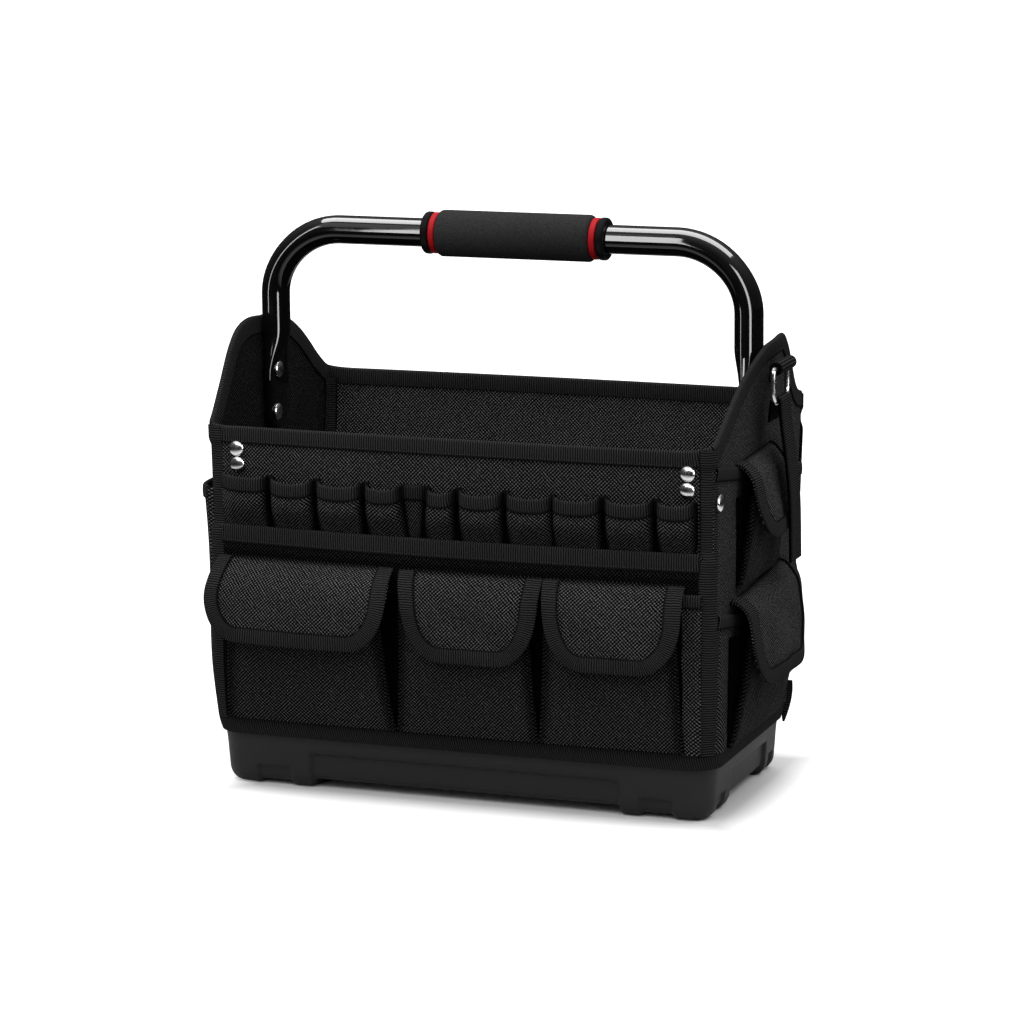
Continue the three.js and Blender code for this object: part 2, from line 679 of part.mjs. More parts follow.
// Moulded tray: open at the top, with a foot at each corner, recessed panels between the feet, and a shallow
// notch in each foot
function tray() {
  const past = 5;
  const endX = TRAY_HALF_X - FOOT_LENGTH_X;
  const endY = TRAY_HALF_Y - FOOT_LENGTH_Y;
  const wideX = TRAY_HALF_X + past;
  const wideY = TRAY_HALF_Y + past;
  const tools = [
    trayLoft(TRAY_INSIDE),
    block(-endX, endX, -wideY, wideY, -past, TRAY_BELLY_Z),
    block(-wideX, wideX, -endY, endY, -past, TRAY_BELLY_Z),
  ];
  for (const hand of [-1, 1]) {
    const face = hand * (TRAY_HALF_Y - PANEL_RECESS);
    const end = hand * (TRAY_HALF_X - PANEL_RECESS);
    const [nearY, farY] = [face, hand * wideY].sort((a, b) => a - b);
    const [nearX, farX] = [end, hand * wideX].sort((a, b) => a - b);
    tools.push(block(-endX, endX, nearY, farY, TRAY_BELLY_Z - 1, PANEL_TOP_Z));
    tools.push(block(nearX, farX, -endY, endY, TRAY_BELLY_Z - 1, PANEL_TOP_Z));
    for (const corner of [-1, 1]) {
      const startX = corner * (TRAY_HALF_X - NOTCH_FROM_CORNER);
      const stopX = startX - corner * NOTCH_LENGTH;
      tools.push(block(Math.min(startX, stopX), Math.max(startX, stopX), nearY, farY, -past, NOTCH_TOP_Z));
      const startY = corner * (TRAY_HALF_Y - NOTCH_SIDE_FROM_CORNER);
      const stopY = startY - corner * NOTCH_SIDE_LENGTH;
      tools.push(block(nearX, farX, Math.min(startY, stopY), Math.max(startY, stopY), -past, NOTCH_TOP_Z));
    }
  }
  return cut(trayLoft(TRAY_OUTSIDE), ...tools);
}

// Handle: flat feet riveted inside the ends, round tube above, two bends and the bar across the top
function handleTube() {
  const stations = HANDLE_FOOT.map(({ z, wide }) => (
    { x: FLAT_X, z, tilt: 0, half: FLAT_HALF_WIDE * wide, thick: FLAT_HALF_THICK }
  ));
  for (const share of [0.25, 0.5, 0.75, 1]) {
    const swell = ease(share);
    stations.push({
      x: mix(FLAT_X, TUBE_X, swell), z: mix(FLAT_TO_Z, ROUND_FROM_Z, share), tilt: 0,
      half: mix(FLAT_HALF_WIDE, TUBE_R, swell), thick: mix(FLAT_HALF_THICK, TUBE_R, swell),
    });
  }
  for (const tilt of between(0, Math.PI / 2, BEND_STEPS)) {
    const x = TUBE_X - BEND_R + BEND_R * Math.cos(tilt);
    const z = TUBE_Z - BEND_R + BEND_R * Math.sin(tilt);
    stations.push({ x, z, tilt, half: TUBE_R, thick: TUBE_R });
  }
  const otherLeg = stations.map((row) => ({ ...row, x: -row.x, tilt: Math.PI - row.tilt })).reverse();
  const angles = between(0, 2 * Math.PI, TUBE_SIDES).slice(0, -1);
  const rings = [...stations, ...otherLeg].map(({ x, z, tilt, half, thick }) => angles.map((angle) => {
    const outward = thick * Math.cos(angle);
    const across = half * Math.sin(angle);
    return new THREE.Vector3(x + outward * Math.cos(tilt), across, z + outward * Math.sin(tilt));
  }));
  return loft(rings, angles.map((angle) => new THREE.Vector2(Math.cos(angle), Math.sin(angle))));
}

// Sleeve on the top bar: a ring turned about the bar, with its outer edges eased
function sleeve(length, radius, easing = 0) {
  const bore = (TUBE_R + GAP) / Math.cos(Math.PI / SLEEVE_SIDES);
  const half = length / 2;
  const outside = easing
    ? [[radius - easing, -half], [radius, easing - half], [radius, half - easing], [radius - easing, half]]
    : [[radius, -half], [radius, half]];
  const profile = [[bore, -half], ...outside, [bore, half], [bore, -half]];
  const turned = new THREE.LatheGeometry(profile.map(([x, y]) => new THREE.Vector2(x, y)), SLEEVE_SIDES);
  return welded(turned).rotateZ(Math.PI / 2);
}

// Rivet along +Y: a domed head on the face, a shank through the layers, and a flat back head
function rivet(through) {
  const back = -through - RIVET_CLEAR;
  const face = RIVET_CLEAR;
  const profile = [
    [0, back - RIVET_BACK_H], [RIVET_BACK_R, back - RIVET_BACK_RIM], [RIVET_SHANK_R, back],
    [RIVET_SHANK_R, face], [RIVET_HEAD_R, face], [RIVET_HEAD_R * 0.75, face + RIVET_HEAD_H * 0.72],
    [0, face + RIVET_HEAD_H],
  ];
  return welded(new THREE.LatheGeometry(profile.map(([x, y]) => new THREE.Vector2(x, y)), RIVET_SIDES));
}

// Drill for a rivet's hole, along X or Y, through all the layers at a place
function drill(along, x, y, z) {
  const hole = new THREE.CylinderGeometry(RIVET_HOLE_R, RIVET_HOLE_R, DRILL_LENGTH, RIVET_SIDES);
  if (along === 'x') hole.rotateZ(Math.PI / 2);
  return hole.translate(x, y, z);
}

// Webbing band that follows points (x, z) seen from the front, as wide as the ring holds
function webbingBand(line) {
  const normals = line.map((point, i) => {
    const way = line[Math.min(i + 1, line.length - 1)].clone().sub(line[Math.max(i - 1, 0)]).normalize();
    return new THREE.Vector2(-way.y, way.x);
  });
  const grid = (off) => line.map((point, i) => [-WEBBING_HALF, WEBBING_HALF].map((across) => (
    new THREE.Vector3(point.x + normals[i].x * off, RING_Y + across, point.y + normals[i].y * off)
  )));
  return wall(grid(0), grid(WEBBING));
}

// Outer face of the right end, the furthest out across the webbing's width
function endFace(z) {
  const runs = [RING_Y - WEBBING_HALF, RING_Y, RING_Y + WEBBING_HALF];
  return Math.max(...runs.map((run) => place(SIDES.right, run, z, 0).x));
}

// Tab: both ends of the webbing sewn to the end, its loop held out with the ring's bar in it
function ringTab() {
  const clear = RING_WIRE_R + GAP;
  const seatZ = RING_BAR_Z + TAB_SEAT_RISE;
  const topZ = RING_BAR_Z + TAB_TOP_RISE;
  const seat = endFace(topZ) + 2 * GAP;
  const loop = between(-Math.PI / 2, Math.PI / 2, 4).map((angle) => (
    new THREE.Vector2(RING_X + clear * Math.cos(angle), RING_BAR_Z + clear * Math.sin(angle))
  ));
  const line = [
    new THREE.Vector2(seat + WEBBING, topZ), new THREE.Vector2(seat + WEBBING, seatZ),
    new THREE.Vector2(seat + 5, RING_BAR_Z - clear), ...loop,
    new THREE.Vector2(seat + 9, RING_BAR_Z + clear), new THREE.Vector2(seat + WEBBING + GAP, seatZ + 4),
    new THREE.Vector2(seat + WEBBING + GAP, topZ),
  ];
  return webbingBand(line.reverse());
}

// Ring of round wire: a straight bar in the tab, and a bow with eased corners below it
function dRing() {
  const outline = new THREE.Shape();
  const half = RING_HALF;
  const r = RING_CORNER_R;
  outline.moveTo(-half, 0);
  outline.lineTo(half, 0);
  outline.lineTo(half, r - RING_DROP);
  outline.absarc(half - r, r - RING_DROP, r, 0, -Math.PI / 2, true);
  outline.lineTo(r - half, -RING_DROP);
  outline.absarc(r - half, r - RING_DROP, r, -Math.PI / 2, -Math.PI, true);
  const route = outline.extractPoints(3).shape.slice(0, -1);
  const angles = between(0, 2 * Math.PI, RING_WIRE_SIDES).slice(0, -1);
  const rings = route.map((point, i) => {
    const before = route[(i + route.length - 1) % route.length];
    const after = route[(i + 1) % route.length];
    const way = after.clone().sub(before).normalize();
    return angles.map((angle) => {
      const side = RING_WIRE_R * Math.cos(angle);
      const out = RING_WIRE_R * Math.sin(angle);
      const [along, up] = [point.x - way.y * side, point.y + way.x * side];
      return new THREE.Vector3(RING_X + out, RING_Y + along, RING_BAR_Z + up);
    });
  });
  return loft(rings);
}

// Strap: sewn to the end, up through the ring, over its foot and hanging down outside
function hangingStrap() {
  const footZ = RING_BAR_Z - RING_DROP;
  const clear = RING_WIRE_R + GAP;
  const sewnTop = footZ - STRAP_SEWN_FROM;
  const sewnFoot = footZ - STRAP_SEWN_TO;
  const sewn = WEBBING + 2 * GAP;
  const over = between(Math.PI, 0, 4).map((angle) => (
    new THREE.Vector2(RING_X + clear * Math.cos(angle), footZ + clear * Math.sin(angle))
  ));
  const line = [
    new THREE.Vector2(endFace(sewnFoot) + sewn, sewnFoot),
    new THREE.Vector2(endFace(sewnTop) + sewn, sewnTop),
    ...over,
    new THREE.Vector2(RING_X + clear + 2, footZ - 40),
    new THREE.Vector2(RING_X + clear + 5, STRAP_FOOT_Z),
  ];
  return webbingBand(line);
}

const cloth = (name) => ({ name, color: 0x19191b, roughness: 0.88, metalness: 0 });
const tape = (name) => ({ name, color: 0x1f1f21, roughness: 0.8, metalness: 0 });
const nickel = (name) => ({ name, color: 0xd4d4d6, roughness: 0.25, metalness: 1 });
const group = new THREE.Group();

function add(geometry, { name, color, roughness, metalness }) {
  const mesh = new THREE.Mesh(geometry, new THREE.MeshStandardMaterial({ color, roughness, metalness }));
  mesh.name = name;
  group.add(mesh);
  return mesh;
}

add(tray(), { name: 'base_tray', color: 0x27272a, roughness: 0.6, metalness: 0 });

// Walls, with a hole for each rivet
const handleHoles = (hand) => HANDLE_RIVET_Z.map((z) => drill('x', hand * FLAT_X, 0, z));
const frontHoles = [-1, 1].flatMap((hand) => FRONT_RIVET_Z.map((z) => {
  const { x, y } = place(SIDES.front, hand * FRONT_RIVET_X, z, 0);
  return drill('y', x, y, z);
}));
const sideHole = drill('x', read(BODY_SECTIONS, 'halfX', SIDE_RIVET_Z), SIDE_RIVET_Y, SIDE_RIVET_Z);
add(cut(panel(SIDES.front), ...frontHoles), cloth('front_panel'));
add(panel(SIDES.back), cloth('back_panel'));
add(cut(panel(SIDES.right), ...handleHoles(1), sideHole), cloth('end_panel_right'));
add(cut(panel(SIDES.left), ...handleHoles(-1)), cloth('end_panel_left'));

// Tapes that bind the walls
for (const name of ['front', 'back']) {
  const side = SIDES[name];
  const half = halfRun(side, FRONT_RIM_Z) - CORNER_TAPE_LONG_SIDE - GAP;
  const edge = (run) => topEdge(side, run);
  const runs = cutAt(-half, half, stationsOf(side));
  add(foldedTape(side, edge, runs, RIM_TAPE, 0, -CLOTH), tape(`${name}_rim_binding`));
}
add(cut(endTape(SIDES.right, SIDES.front, SIDES.back), sideHole), tape('end_binding_right'));
add(endTape(SIDES.left, SIDES.back, SIDES.front), tape('end_binding_left'));
add(baseTape(), tape('base_binding'));

for (const strip of LOOP_STRIPS) {
  add(loopStrip(strip), cloth(`loop_strip_${strip.name}`));
}

// Second layer, its bound top and the flap pockets on the two long sides
for (const [name, pockets] of [['front', FRONT_POCKETS], ['back', BACK_POCKETS]]) {
  const side = SIDES[name];
  const end = (z) => halfRun(side, z) - CORNER_TAPE_LONG_SIDE - GAP;
  const start = (z) => -end(z);
  const tapeRuns = cutAt(start(APRON_TOP_Z), end(APRON_TOP_Z), stationsOf(side));
  add(layer(side, start, end, APRON_FOOT_Z, APRON_TOP_Z, APRON_STAND_OFF), cloth(`${name}_apron`));
  add(
    foldedTape(side, () => APRON_TOP_Z, tapeRuns, APRON_TAPE, APRON_FACE, APRON_STAND_OFF),
    tape(`${name}_apron_binding`),
  );
  for (const row of pockets) {
    const whole = { ...LONG_SIDE_POCKET, ...row };
    add(pocket(side, whole), cloth(`${name}_pocket_${row.name}`));
    add(flap(side, whole), cloth(`${name}_flap_${row.name}`));
    add(flapTape(side, whole), tape(`${name}_flap_binding_${row.name}`));
  }
}
const stripEnd = (z) => halfRun(SIDES.front, z) - CORNER_TAPE_LONG_SIDE - GAP;
add(
  layer(SIDES.front, () => EDGE_STRIP.from, stripEnd, SLIP_FOOT_Z, EDGE_STRIP.topZ, POCKET_SEAT),
  cloth('front_edge_strip'),
);

// Layers and flap pockets on the right end, one layer on the left end
function slip(side, { topZ, lift, swell }) {
  const end = (z) => halfRun(side, z) - CORNER_TAPE_END - GAP;
  return layer(side, (z) => -end(z), end, SLIP_FOOT_Z, topZ, lift, swell);
}
for (const row of RIGHT_SLIPS) add(slip(SIDES.right, row), cloth(`side_slip_${row.name}`));
add(slip(SIDES.left, LEFT_SLIP), cloth('side_slip_left'));
for (const row of SIDE_POCKETS) {
  add(pocket(SIDES.right, row), cloth(`side_pocket_${row.name}`));
  add(flap(SIDES.right, row), cloth(`side_flap_${row.name}`));
  add(flapTape(SIDES.right, row), tape(`side_flap_binding_${row.name}`));
}
add(ringTab(), tape('ring_tab'));
add(dRing(), nickel('d_ring'));
add(hangingStrap(), tape('hanging_strap'));

// Handle, its grip and its rivets
const tube = cut(handleTube(), ...handleHoles(1), ...handleHoles(-1));
add(tube, { name: 'handle_tube', color: 0x0b0b0d, roughness: 0.15, metalness: 0.6 });
const HANDS = [{ hand: -1, label: 'left' }, { hand: 1, label: 'right' }];

function addSleeve(geometry, at, look) {
  add(geometry, { ...look, metalness: 0 }).position.set(GRIP_SHIFT + at, 0, TUBE_Z);
}

addSleeve(sleeve(2 * GRIP_HALF, GRIP_R, GRIP_EASING), 0, { name: 'grip', color: 0x2d2d2f, roughness: 0.95 });
for (const { hand, label } of HANDS) {
  const ringAt = GRIP_HALF + GAP + RED_RING_LENGTH / 2;
  const collarAt = ringAt + RED_RING_LENGTH / 2 + GAP + COLLAR_LENGTH / 2;
  const red = { name: `red_ring_${label}`, color: 0xc9262d, roughness: 0.45 };
  const dark = { name: `collar_${label}`, color: 0x1c1c1e, roughness: 0.55 };
  addSleeve(sleeve(RED_RING_LENGTH, RED_RING_R), hand * ringAt, red);
  addSleeve(sleeve(COLLAR_LENGTH, COLLAR_R), hand * collarAt, dark);
}

for (const { hand, label } of HANDS) {
  FRONT_RIVET_Z.forEach((z, i) => {
    const mesh = add(rivet(CLOTH), nickel(`front_rivet_${label}_${i + 1}`));
    mesh.rotation.x = Math.PI;
    mesh.position.copy(place(SIDES.front, hand * FRONT_RIVET_X, z, 0));
  });
  HANDLE_RIVET_Z.forEach((z, i) => {
    const through = place(SIDES.right, 0, z, 0).x - FLAT_X + FLAT_HALF_THICK;
    const mesh = add(rivet(through), nickel(`handle_rivet_${label}_${i + 1}`));
    mesh.rotation.z = (hand * Math.PI) / 2;
    mesh.position.set(hand * (FLAT_X - FLAT_HALF_THICK), 0, z);
  });
}
const sideRivet = add(rivet(CLOTH + CORNER_GAP + TAPE), nickel('side_rivet'));
sideRivet.rotation.z = -Math.PI / 2;
sideRivet.position.copy(place(SIDES.right, SIDE_RIVET_Y, SIDE_RIVET_Z, CORNER_GAP + TAPE));

// The origin goes under the middle of the whole box
const box = new THREE.Box3().setFromObject(group);
const middle = box.getCenter(new THREE.Vector3());
group.position.set(-middle.x, -middle.y, -box.min.z);

export default group;
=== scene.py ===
"""Looks of an open-top tool tote bag: woven cloth walls, ribbed binding tape, flap pockets, tool loops, a
moulded tray and a gloss tube handle.

Sizes are in millimetres, from the floor under the middle of the tray, as the construction gives them.
"""
import json
import math
from collections import namedtuple
from functools import partial

import bmesh
import bpy
import numpy as np
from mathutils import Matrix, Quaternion, Vector

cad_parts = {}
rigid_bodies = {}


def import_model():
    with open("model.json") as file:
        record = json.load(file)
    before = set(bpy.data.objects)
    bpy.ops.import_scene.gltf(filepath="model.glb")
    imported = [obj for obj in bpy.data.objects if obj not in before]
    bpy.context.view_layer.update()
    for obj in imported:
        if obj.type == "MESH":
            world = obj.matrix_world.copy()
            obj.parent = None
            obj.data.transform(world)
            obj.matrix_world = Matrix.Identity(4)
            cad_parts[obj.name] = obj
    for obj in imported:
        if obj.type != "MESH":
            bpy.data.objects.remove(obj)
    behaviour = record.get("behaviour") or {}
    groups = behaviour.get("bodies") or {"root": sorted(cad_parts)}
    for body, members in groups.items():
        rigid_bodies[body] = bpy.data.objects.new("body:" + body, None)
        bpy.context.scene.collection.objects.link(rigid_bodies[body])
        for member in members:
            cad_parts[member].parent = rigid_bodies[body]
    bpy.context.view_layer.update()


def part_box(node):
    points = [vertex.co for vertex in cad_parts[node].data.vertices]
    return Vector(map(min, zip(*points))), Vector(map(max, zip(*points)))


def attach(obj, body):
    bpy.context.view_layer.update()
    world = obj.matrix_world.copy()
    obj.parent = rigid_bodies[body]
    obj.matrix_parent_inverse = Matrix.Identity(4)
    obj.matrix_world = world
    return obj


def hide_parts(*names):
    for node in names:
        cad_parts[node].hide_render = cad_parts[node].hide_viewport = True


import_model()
MM = 0.001
TRAY_LOW, TRAY_HIGH = (np.array(corner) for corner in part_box("base_tray"))
MIDDLE = (TRAY_LOW + TRAY_HIGH) / 2 * (1, 1, 0)

# Photograph's view: angles in degrees, millimetres, and pixels of a 1024 pixel frame
VIEW_AZIMUTH, VIEW_ELEVATION, VIEW_ROLL = 20.4, 11.35, -0.55
VIEW_DISTANCE = 3010
VIEW_AIM = np.array([0.0, 0.0, 200.0])
PICTURE = 1024
FOCAL_PIXELS = 3910
CENTRE_PIXEL = (509.3, 517.8)
SENSOR = 36.0

# Cloth body
FRONT_RIM, BACK_RIM, CLOTH_FOOT = 275.5, 284.5, 38.0
# Height of an end above the rim, by the distance past the corner
GABLE_PAST = np.array([-22.0, -10, 0, 20, 40, 54, 68, 80, 92, 112])
GABLE_CLIMB = {
    "left front": np.array([0, 0, 2, 25, 52, 61, 64, 65, 65, 63]),
    "left back": np.array([0, 0.5, 2, 14, 31, 43, 53, 58.5, 61.5, 63]),
    "right front": np.array([0, 1.5, 4, 12.5, 23, 31, 39, 46, 52, 58]),
    "right back": np.array([0, 0, 0.5, 10, 44, 55, 58, 58.5, 58.5, 58]),
}
# Body at five heights: half sizes, corner radius, and how far the long sides and the ends bow out
BODY_Z = np.array([36.3, 80, 150, 205, 280])
BODY = {
    "half_x": np.array([197.8, 198.2, 198.8, 199.4, 200]),
    "half_y": np.array([107.3, 108.3, 110, 111.3, 113]),
    "corner": np.array([22.0, 12, 6, 5, 5]),
    "bow": np.array([0, 4.5, 8.5, 8.5, 4]),
    "end_bow": np.array([0, 1.0, 2, 2, 0]),
}
# How far an end leans out beside the handle's leg, by height, and the runs between which that fades
LEAN_Z = np.array([205.0, 264, 318, 338.6, 352])
LEAN = np.array([0, -1, 2.6, 6.2, 7])
LEAN_FULL_TO, LEAN_ENDS_AT = 16.0, 80.0

# Stance: the body sits higher over its feet, its lower left end stands out, its lower back is drawn in
# and its upper back stands out. Each span says where its shift begins and where it is whole.
LIFT, LEFT_OUT, BACK_IN, BACK_OUT = 4.0, 6.4, 23.0, 4.0
LIFT_Z, UNLIFT_Z = (6, 34), (350, 410)
LEFT_Z, LEFT_X = (200, 70), (-60, -190)
BACK_IN_Z, BACK_OUT_Z, BACK_Y = (230, 60), (215, 275), (15, 105)

# Stitches
STITCH_PITCH, STITCH_LONG, STITCH_WIDE, STITCH_TALL = 3.0, 2.0, 0.7, 0.3

# Thicknesses, the tapes' widths, and the layers on the sides
CLOTH, POCKET_CLOTH, LOOP_CLOTH, TAPE, WEBBING = 2.0, 1.5, 1.3, 0.9, 1.6
RIM_TAPE, GABLE_TAPE, APRON_TAPE, FLAP_TAPE, LOOP_TAPE, SLIP_TAPE = 10.5, 11.0, 12.2, 11.4, 9.2, 8.0
CORNER_TAPE_LONG, CORNER_TAPE_END, INNER_TAPE_HALF = 9.5, 2.5, 9.0
BASE_TAPE, BASE_TAPE_FOOT = 14.0, 37.0
TAPE_GAP, CORNER_TAPE_GAP, CORNER_TAPE_BELOW_RIM = 0.25, 0.35, 0.6
LAYER_UNDER_TAPE = 3.0
# Apron: foot, top and distance out, and the height below which its colour gets painted shade, as under the
# flaps
APRON_FOOT, APRON_TOP, APRON_OFF, APRON_PAINTED_SHADE_BELOW = 50.0, 200.6, 2.0, 189.0
POCKET_SEAT = APRON_OFF + POCKET_CLOTH + 0.3
STRIP_START, STRIP_TOP = 174.2, 170.0

Side = namedtuple("Side", "name cos sin long rim_start rim_end")
FRONT = Side("front", 1, 0, True, FRONT_RIM, FRONT_RIM)
RIGHT = Side("right", 0, 1, False, FRONT_RIM, BACK_RIM)
BACK = Side("back", -1, 0, True, BACK_RIM, BACK_RIM)
LEFT = Side("left", 0, -1, False, BACK_RIM, FRONT_RIM)
SIDES = (FRONT, RIGHT, BACK, LEFT)
# Gable curves at the two corners of each side
GABLE_CORNERS = {
    "front": ("left front", "right front"),
    "right": ("right front", "right back"),
    "back": ("right back", "left back"),
    "left": ("left back", "left front"),
}
# Painted light on each wall's inner face, as a share of the outer one's: the back's inside painted
# lighter, as lit from the front, the left end's inside painted darker, as shade
INSIDE_PAINTED_LIGHT = {"front": 1.0, "right": 1.0, "back": 1.4, "left": 0.35}
# Layers under the corner tapes: top and thickness of each
LAYERS = {
    "front": [(APRON_TOP, 3.6)],
    "back": [(APRON_TOP, 3.6)],
    "right": [(262, 2.3), (153, 2.0)],
    "left": [(228, 2.3)],
}
# Slip layers on the ends: side, node, height of the top edge at its middle, its slope, distance out and
# swell
SLIPS = [
    (RIGHT, "side_slip_high", 247, -0.155, 0.3, 0),
    (RIGHT, "side_slip_low", 136, -0.165, 2.2, 0),
    (LEFT, "side_slip_left", 228, 0.0, 0.3, 12),
]
SLIP_SQUARENESS, SLIP_TAPE_INSET = 14, 2.5

# Flap pockets. The pocket: middle, width, heights of its foot and mouth, stand-out at the mouth, how far
# its two edges are drawn in there, and distance out. Its flap: middle, width, height of the seam, drop,
# stand-out, distance out, share of the stand-out that the strap presses away, shift and spread beside the
# seam, seam's slope.
Pocket = namedtuple("Pocket", (
    "side name mid width foot mouth stand insets seat "
    "flap_mid flap_width seam drop flap_stand flap_seat press shift spread tilt"))
LONG_FOOT, LONG_MOUTH, LONG_SEAM = 51.5, 158.0, 179.2


def long_pocket(side, name, mid, width, stand, insets, flap_mid, flap_width, drop, flap_stand, shift=0.0,
                spread=2.0):
    """Pocket on a long side, sewn to the layer there."""
    return Pocket(side, name, mid, width, LONG_FOOT, LONG_MOUTH, stand, insets, POCKET_SEAT,
                  flap_mid, flap_width, LONG_SEAM, drop, flap_stand, POCKET_SEAT, 0.0, shift, spread, 0.0)


POCKETS = [
    long_pocket(FRONT, "front_{}_left", -116, 132, 12, (4, 8), -121.8, 147.6, 62, 25, 2.5, -2.0),
    long_pocket(FRONT, "front_{}_mid", 7.5, 112, 9, (9, 3), 16.3, 104, 66.5, 16.5, -1.2, 3.8),
    long_pocket(FRONT, "front_{}_right", 120.4, 112.5, 9, (11, 4), 127.2, 101.5, 66, 16.5, -1.5, 2.0),
    long_pocket(BACK, "back_{}_left", 92, 176, 12, (5, 5), 92, 178, 61, 20),
    long_pocket(BACK, "back_{}_right", -92, 176, 12, (5, 5), -92, 178, 61, 20),
    Pocket(RIGHT, "side_{}_high", -18, 96, 168, 236, 11, (9, 3), 2.2,
           -13.5, 95, 262, 60, 23, 0.3, 0.12, 0, 0, 0.03),
    Pocket(RIGHT, "side_{}_low", -13, 146, 51.5, 134, 14.5, (12, 6), 4.1,
           -14, 130, 169, 75, 25, 2.2, 0.0, 0, 0, 0.07),
]
# Runs between which the strap presses on a flap
PRESS_RUN = (-35.0, 5.0)
# A flap's curve from its seam, as shares of its stand-out and of its drop
LONG_FLAP_OUT = np.array([0, 0.05, 0.2, 0.433, 0.667, 0.833, 0.933, 0.99, 1])
LONG_FLAP_DOWN = np.array([0, 0.032, 0.065, 0.13, 0.234, 0.371, 0.548, 0.774, 1])
END_FLAP_OUT = np.array([0, 0.3, 0.667, 0.815, 0.926, 1])
END_FLAP_DOWN = np.array([0, 0.027, 0.187, 0.427, 0.72, 1])

# Tool loops along the front: the seams of each strip, the first of them, and the seam before the span
# sewn flat
LOOP_SEAMS = {
    "left": [-188, -148.5, -110, -70, -40],
    "mid": [-40, -20, 4.8, 42.2, 79.5],
    "right": [79.5, 118, 157, 187],
}
FIRST_SEAM, FLAT_SPAN_FROM = -188, -40
LOOP_TOP, LOOP_FOOT, LOOP_BULGE, LOOP_SEAM_HALF, LOOP_END = 240.0, 196.0, 10.0, 2.0, 0.2
# Millimetres over which a loop's painted shade fades in before a seam, and the dip of its top edge
LOOP_SHADE, LOOP_DIP = 8.0, 3.4
# How far the seams beside the flat span lean along the front at their feet
LEANING_RUN, LEANING_BY = [-70, -40, -20, 7], [0, 5, -4, 0]

# Tray: half sizes and corner radius, then for a long side and for an end, where the panel between the
# feet ends and where the notch in a foot begins and ends
TRAY_HALF_X, TRAY_HALF_Y, TRAY_CORNER = 195.5, 105.0, 19.7
PANEL_TO, NOTCH_FROM, NOTCH_TO = (122.5, 49.0), (139.0, 63.0), (164.0, 79.0)
TRAY_EDGE_SOFT, BELLY_Z = 4.4, 7.0
# Tray's section from the middle of the floor up and over the rim: distance in from the outside, and height
TRAY_INSIDE = [(105, 11), (60, 11), (20, 11), (11, 11), (8.5, 11.5), (6.6, 13.4), (5.6, 17),
               (3.8, 25), (3, 36), (3, 46.2), (2.6, 46.9), (0.5, 46.9), (0, 46.3), (0, 36), (0.6, 31)]
# Then down the outer wall: heights, and distances in at a foot, at the panel and at a notch
TRAY_WALL_Z = [25.6, 25, 24.4, 23.8, 23, 16, 15, 14.4, 13.8]
AT_FOOT = [1.2, 1.25, 1.3, 1.35, 1.4, 2.0, 2.1, 2.15, 2.2]
AT_PANEL = [1.2, 1.9, 3.4, 4.1, 4.2, 4.8, 4.9, 4.95, 5]
AT_NOTCH = [1.2, 1.25, 1.3, 1.35, 1.4, 2.0, 2.5, 4, 4.6]
TRAY_TURN_FROM = 12.5

# Handle
TUBE_R, TUBE_X, TUBE_Z, BEND_R = 11.0, 192.0, 418.5, 56.0
FLAT_X, FLAT_THICK, FLAT_WIDE, FLAT_TO, ROUND_FROM, TUBE_FOOT = 192.6, 4.0, 18.0, 300.0, 337.0, 256.0
FOOT_ROUND, FLAT_SQUARENESS = 12.0, 0.55
GRIP_MID, GRIP_HALF, GRIP_R, GRIP_EASING = 8.2, 61.7, 18.0, 3.2
RED_R, RED_LENGTH, RED_EASING = 15.9, 5.0, 1.2
COLLAR_R, COLLAR_LENGTH, COLLAR_EASING = 16.3, 6.2, 2.0
SLEEVE_GAP, BORE_GAP = 0.3, 0.05

# Rivets
RIVET_R, HANDLE_RIVET_R, RIVET_H, RIVET_RIM = 5.9, 6.6, 3.0, 0.7
FRONT_RIVETS = {"left": [(-176.4, 260.8), (-176.0, 248.9)], "right": [(180.6, 261.2), (180.2, 249.0)]}
HANDLE_RIVETS = [(-6.0, 304.0), (-9.5, 271.0)]
SIDE_RIVET_Y, SIDE_RIVET_Z = -108.0, 240.2
FRONT_RIVET_OFF, SIDE_RIVET_OFF = 1.0, 3.6

# Ring, its tab and the strap
RING_Y, RING_X, RING_BAR_Z = 5.0, 215.0, 323.0
RING_HALF, RING_DROP, WIRE_R, RING_CORNER, RING_TOP_CORNER = 18.5, 25.0, 2.2, 8.0, 2.5
TAB_Y, TAB_HALF, TAB_LEG_HALF, TAB_ROLL_R = 12.0, 19.0, 6.0, 3.4
STRAP_HALF, STRAP_FOOT, STRAP_CLEAR = 14.0, 177.0, WIRE_R + 0.3

# Floor, in metres: its reach, and the half sizes round the tray past which it glows to the eye
FLOOR_REACH = 30.0
SHADOW_HALF_X, SHADOW_HALF_Y, GLOW_SLOPE, GLOW = 0.185, 0.1, 36.0, 0.5


# Curves and tables

def mix(a, b, t):
    return a + (b - a) * t


def ease(t):
    """Smooth step from 0 to 1."""
    t = np.clip(t, 0, 1)
    return t * t * (3 - 2 * t)


def ramp(value, start, end):
    """Smooth step from 0 where a value is at the start to 1 where it is at the end."""
    return ease((value - start) / (end - start))


def smooth(x, knots, values):
    """Smooth curve through the values at the knots: cubic pieces whose slopes come from the neighbours."""
    slopes = np.gradient(values, knots)
    i = np.clip(np.searchsorted(knots, x) - 1, 0, len(knots) - 2)
    step = knots[i + 1] - knots[i]
    t = np.clip((x - knots[i]) / step, 0, 1)
    return (values[i] * (1 + 2 * t) * (1 - t) ** 2 + values[i + 1] * t * t * (3 - 2 * t)
            + step * (slopes[i] * t * (1 - t) ** 2 - slopes[i + 1] * t * t * (1 - t)))


def unit(vectors):
    return vectors / np.maximum(np.linalg.norm(vectors, axis=-1, keepdims=True), 1e-9)


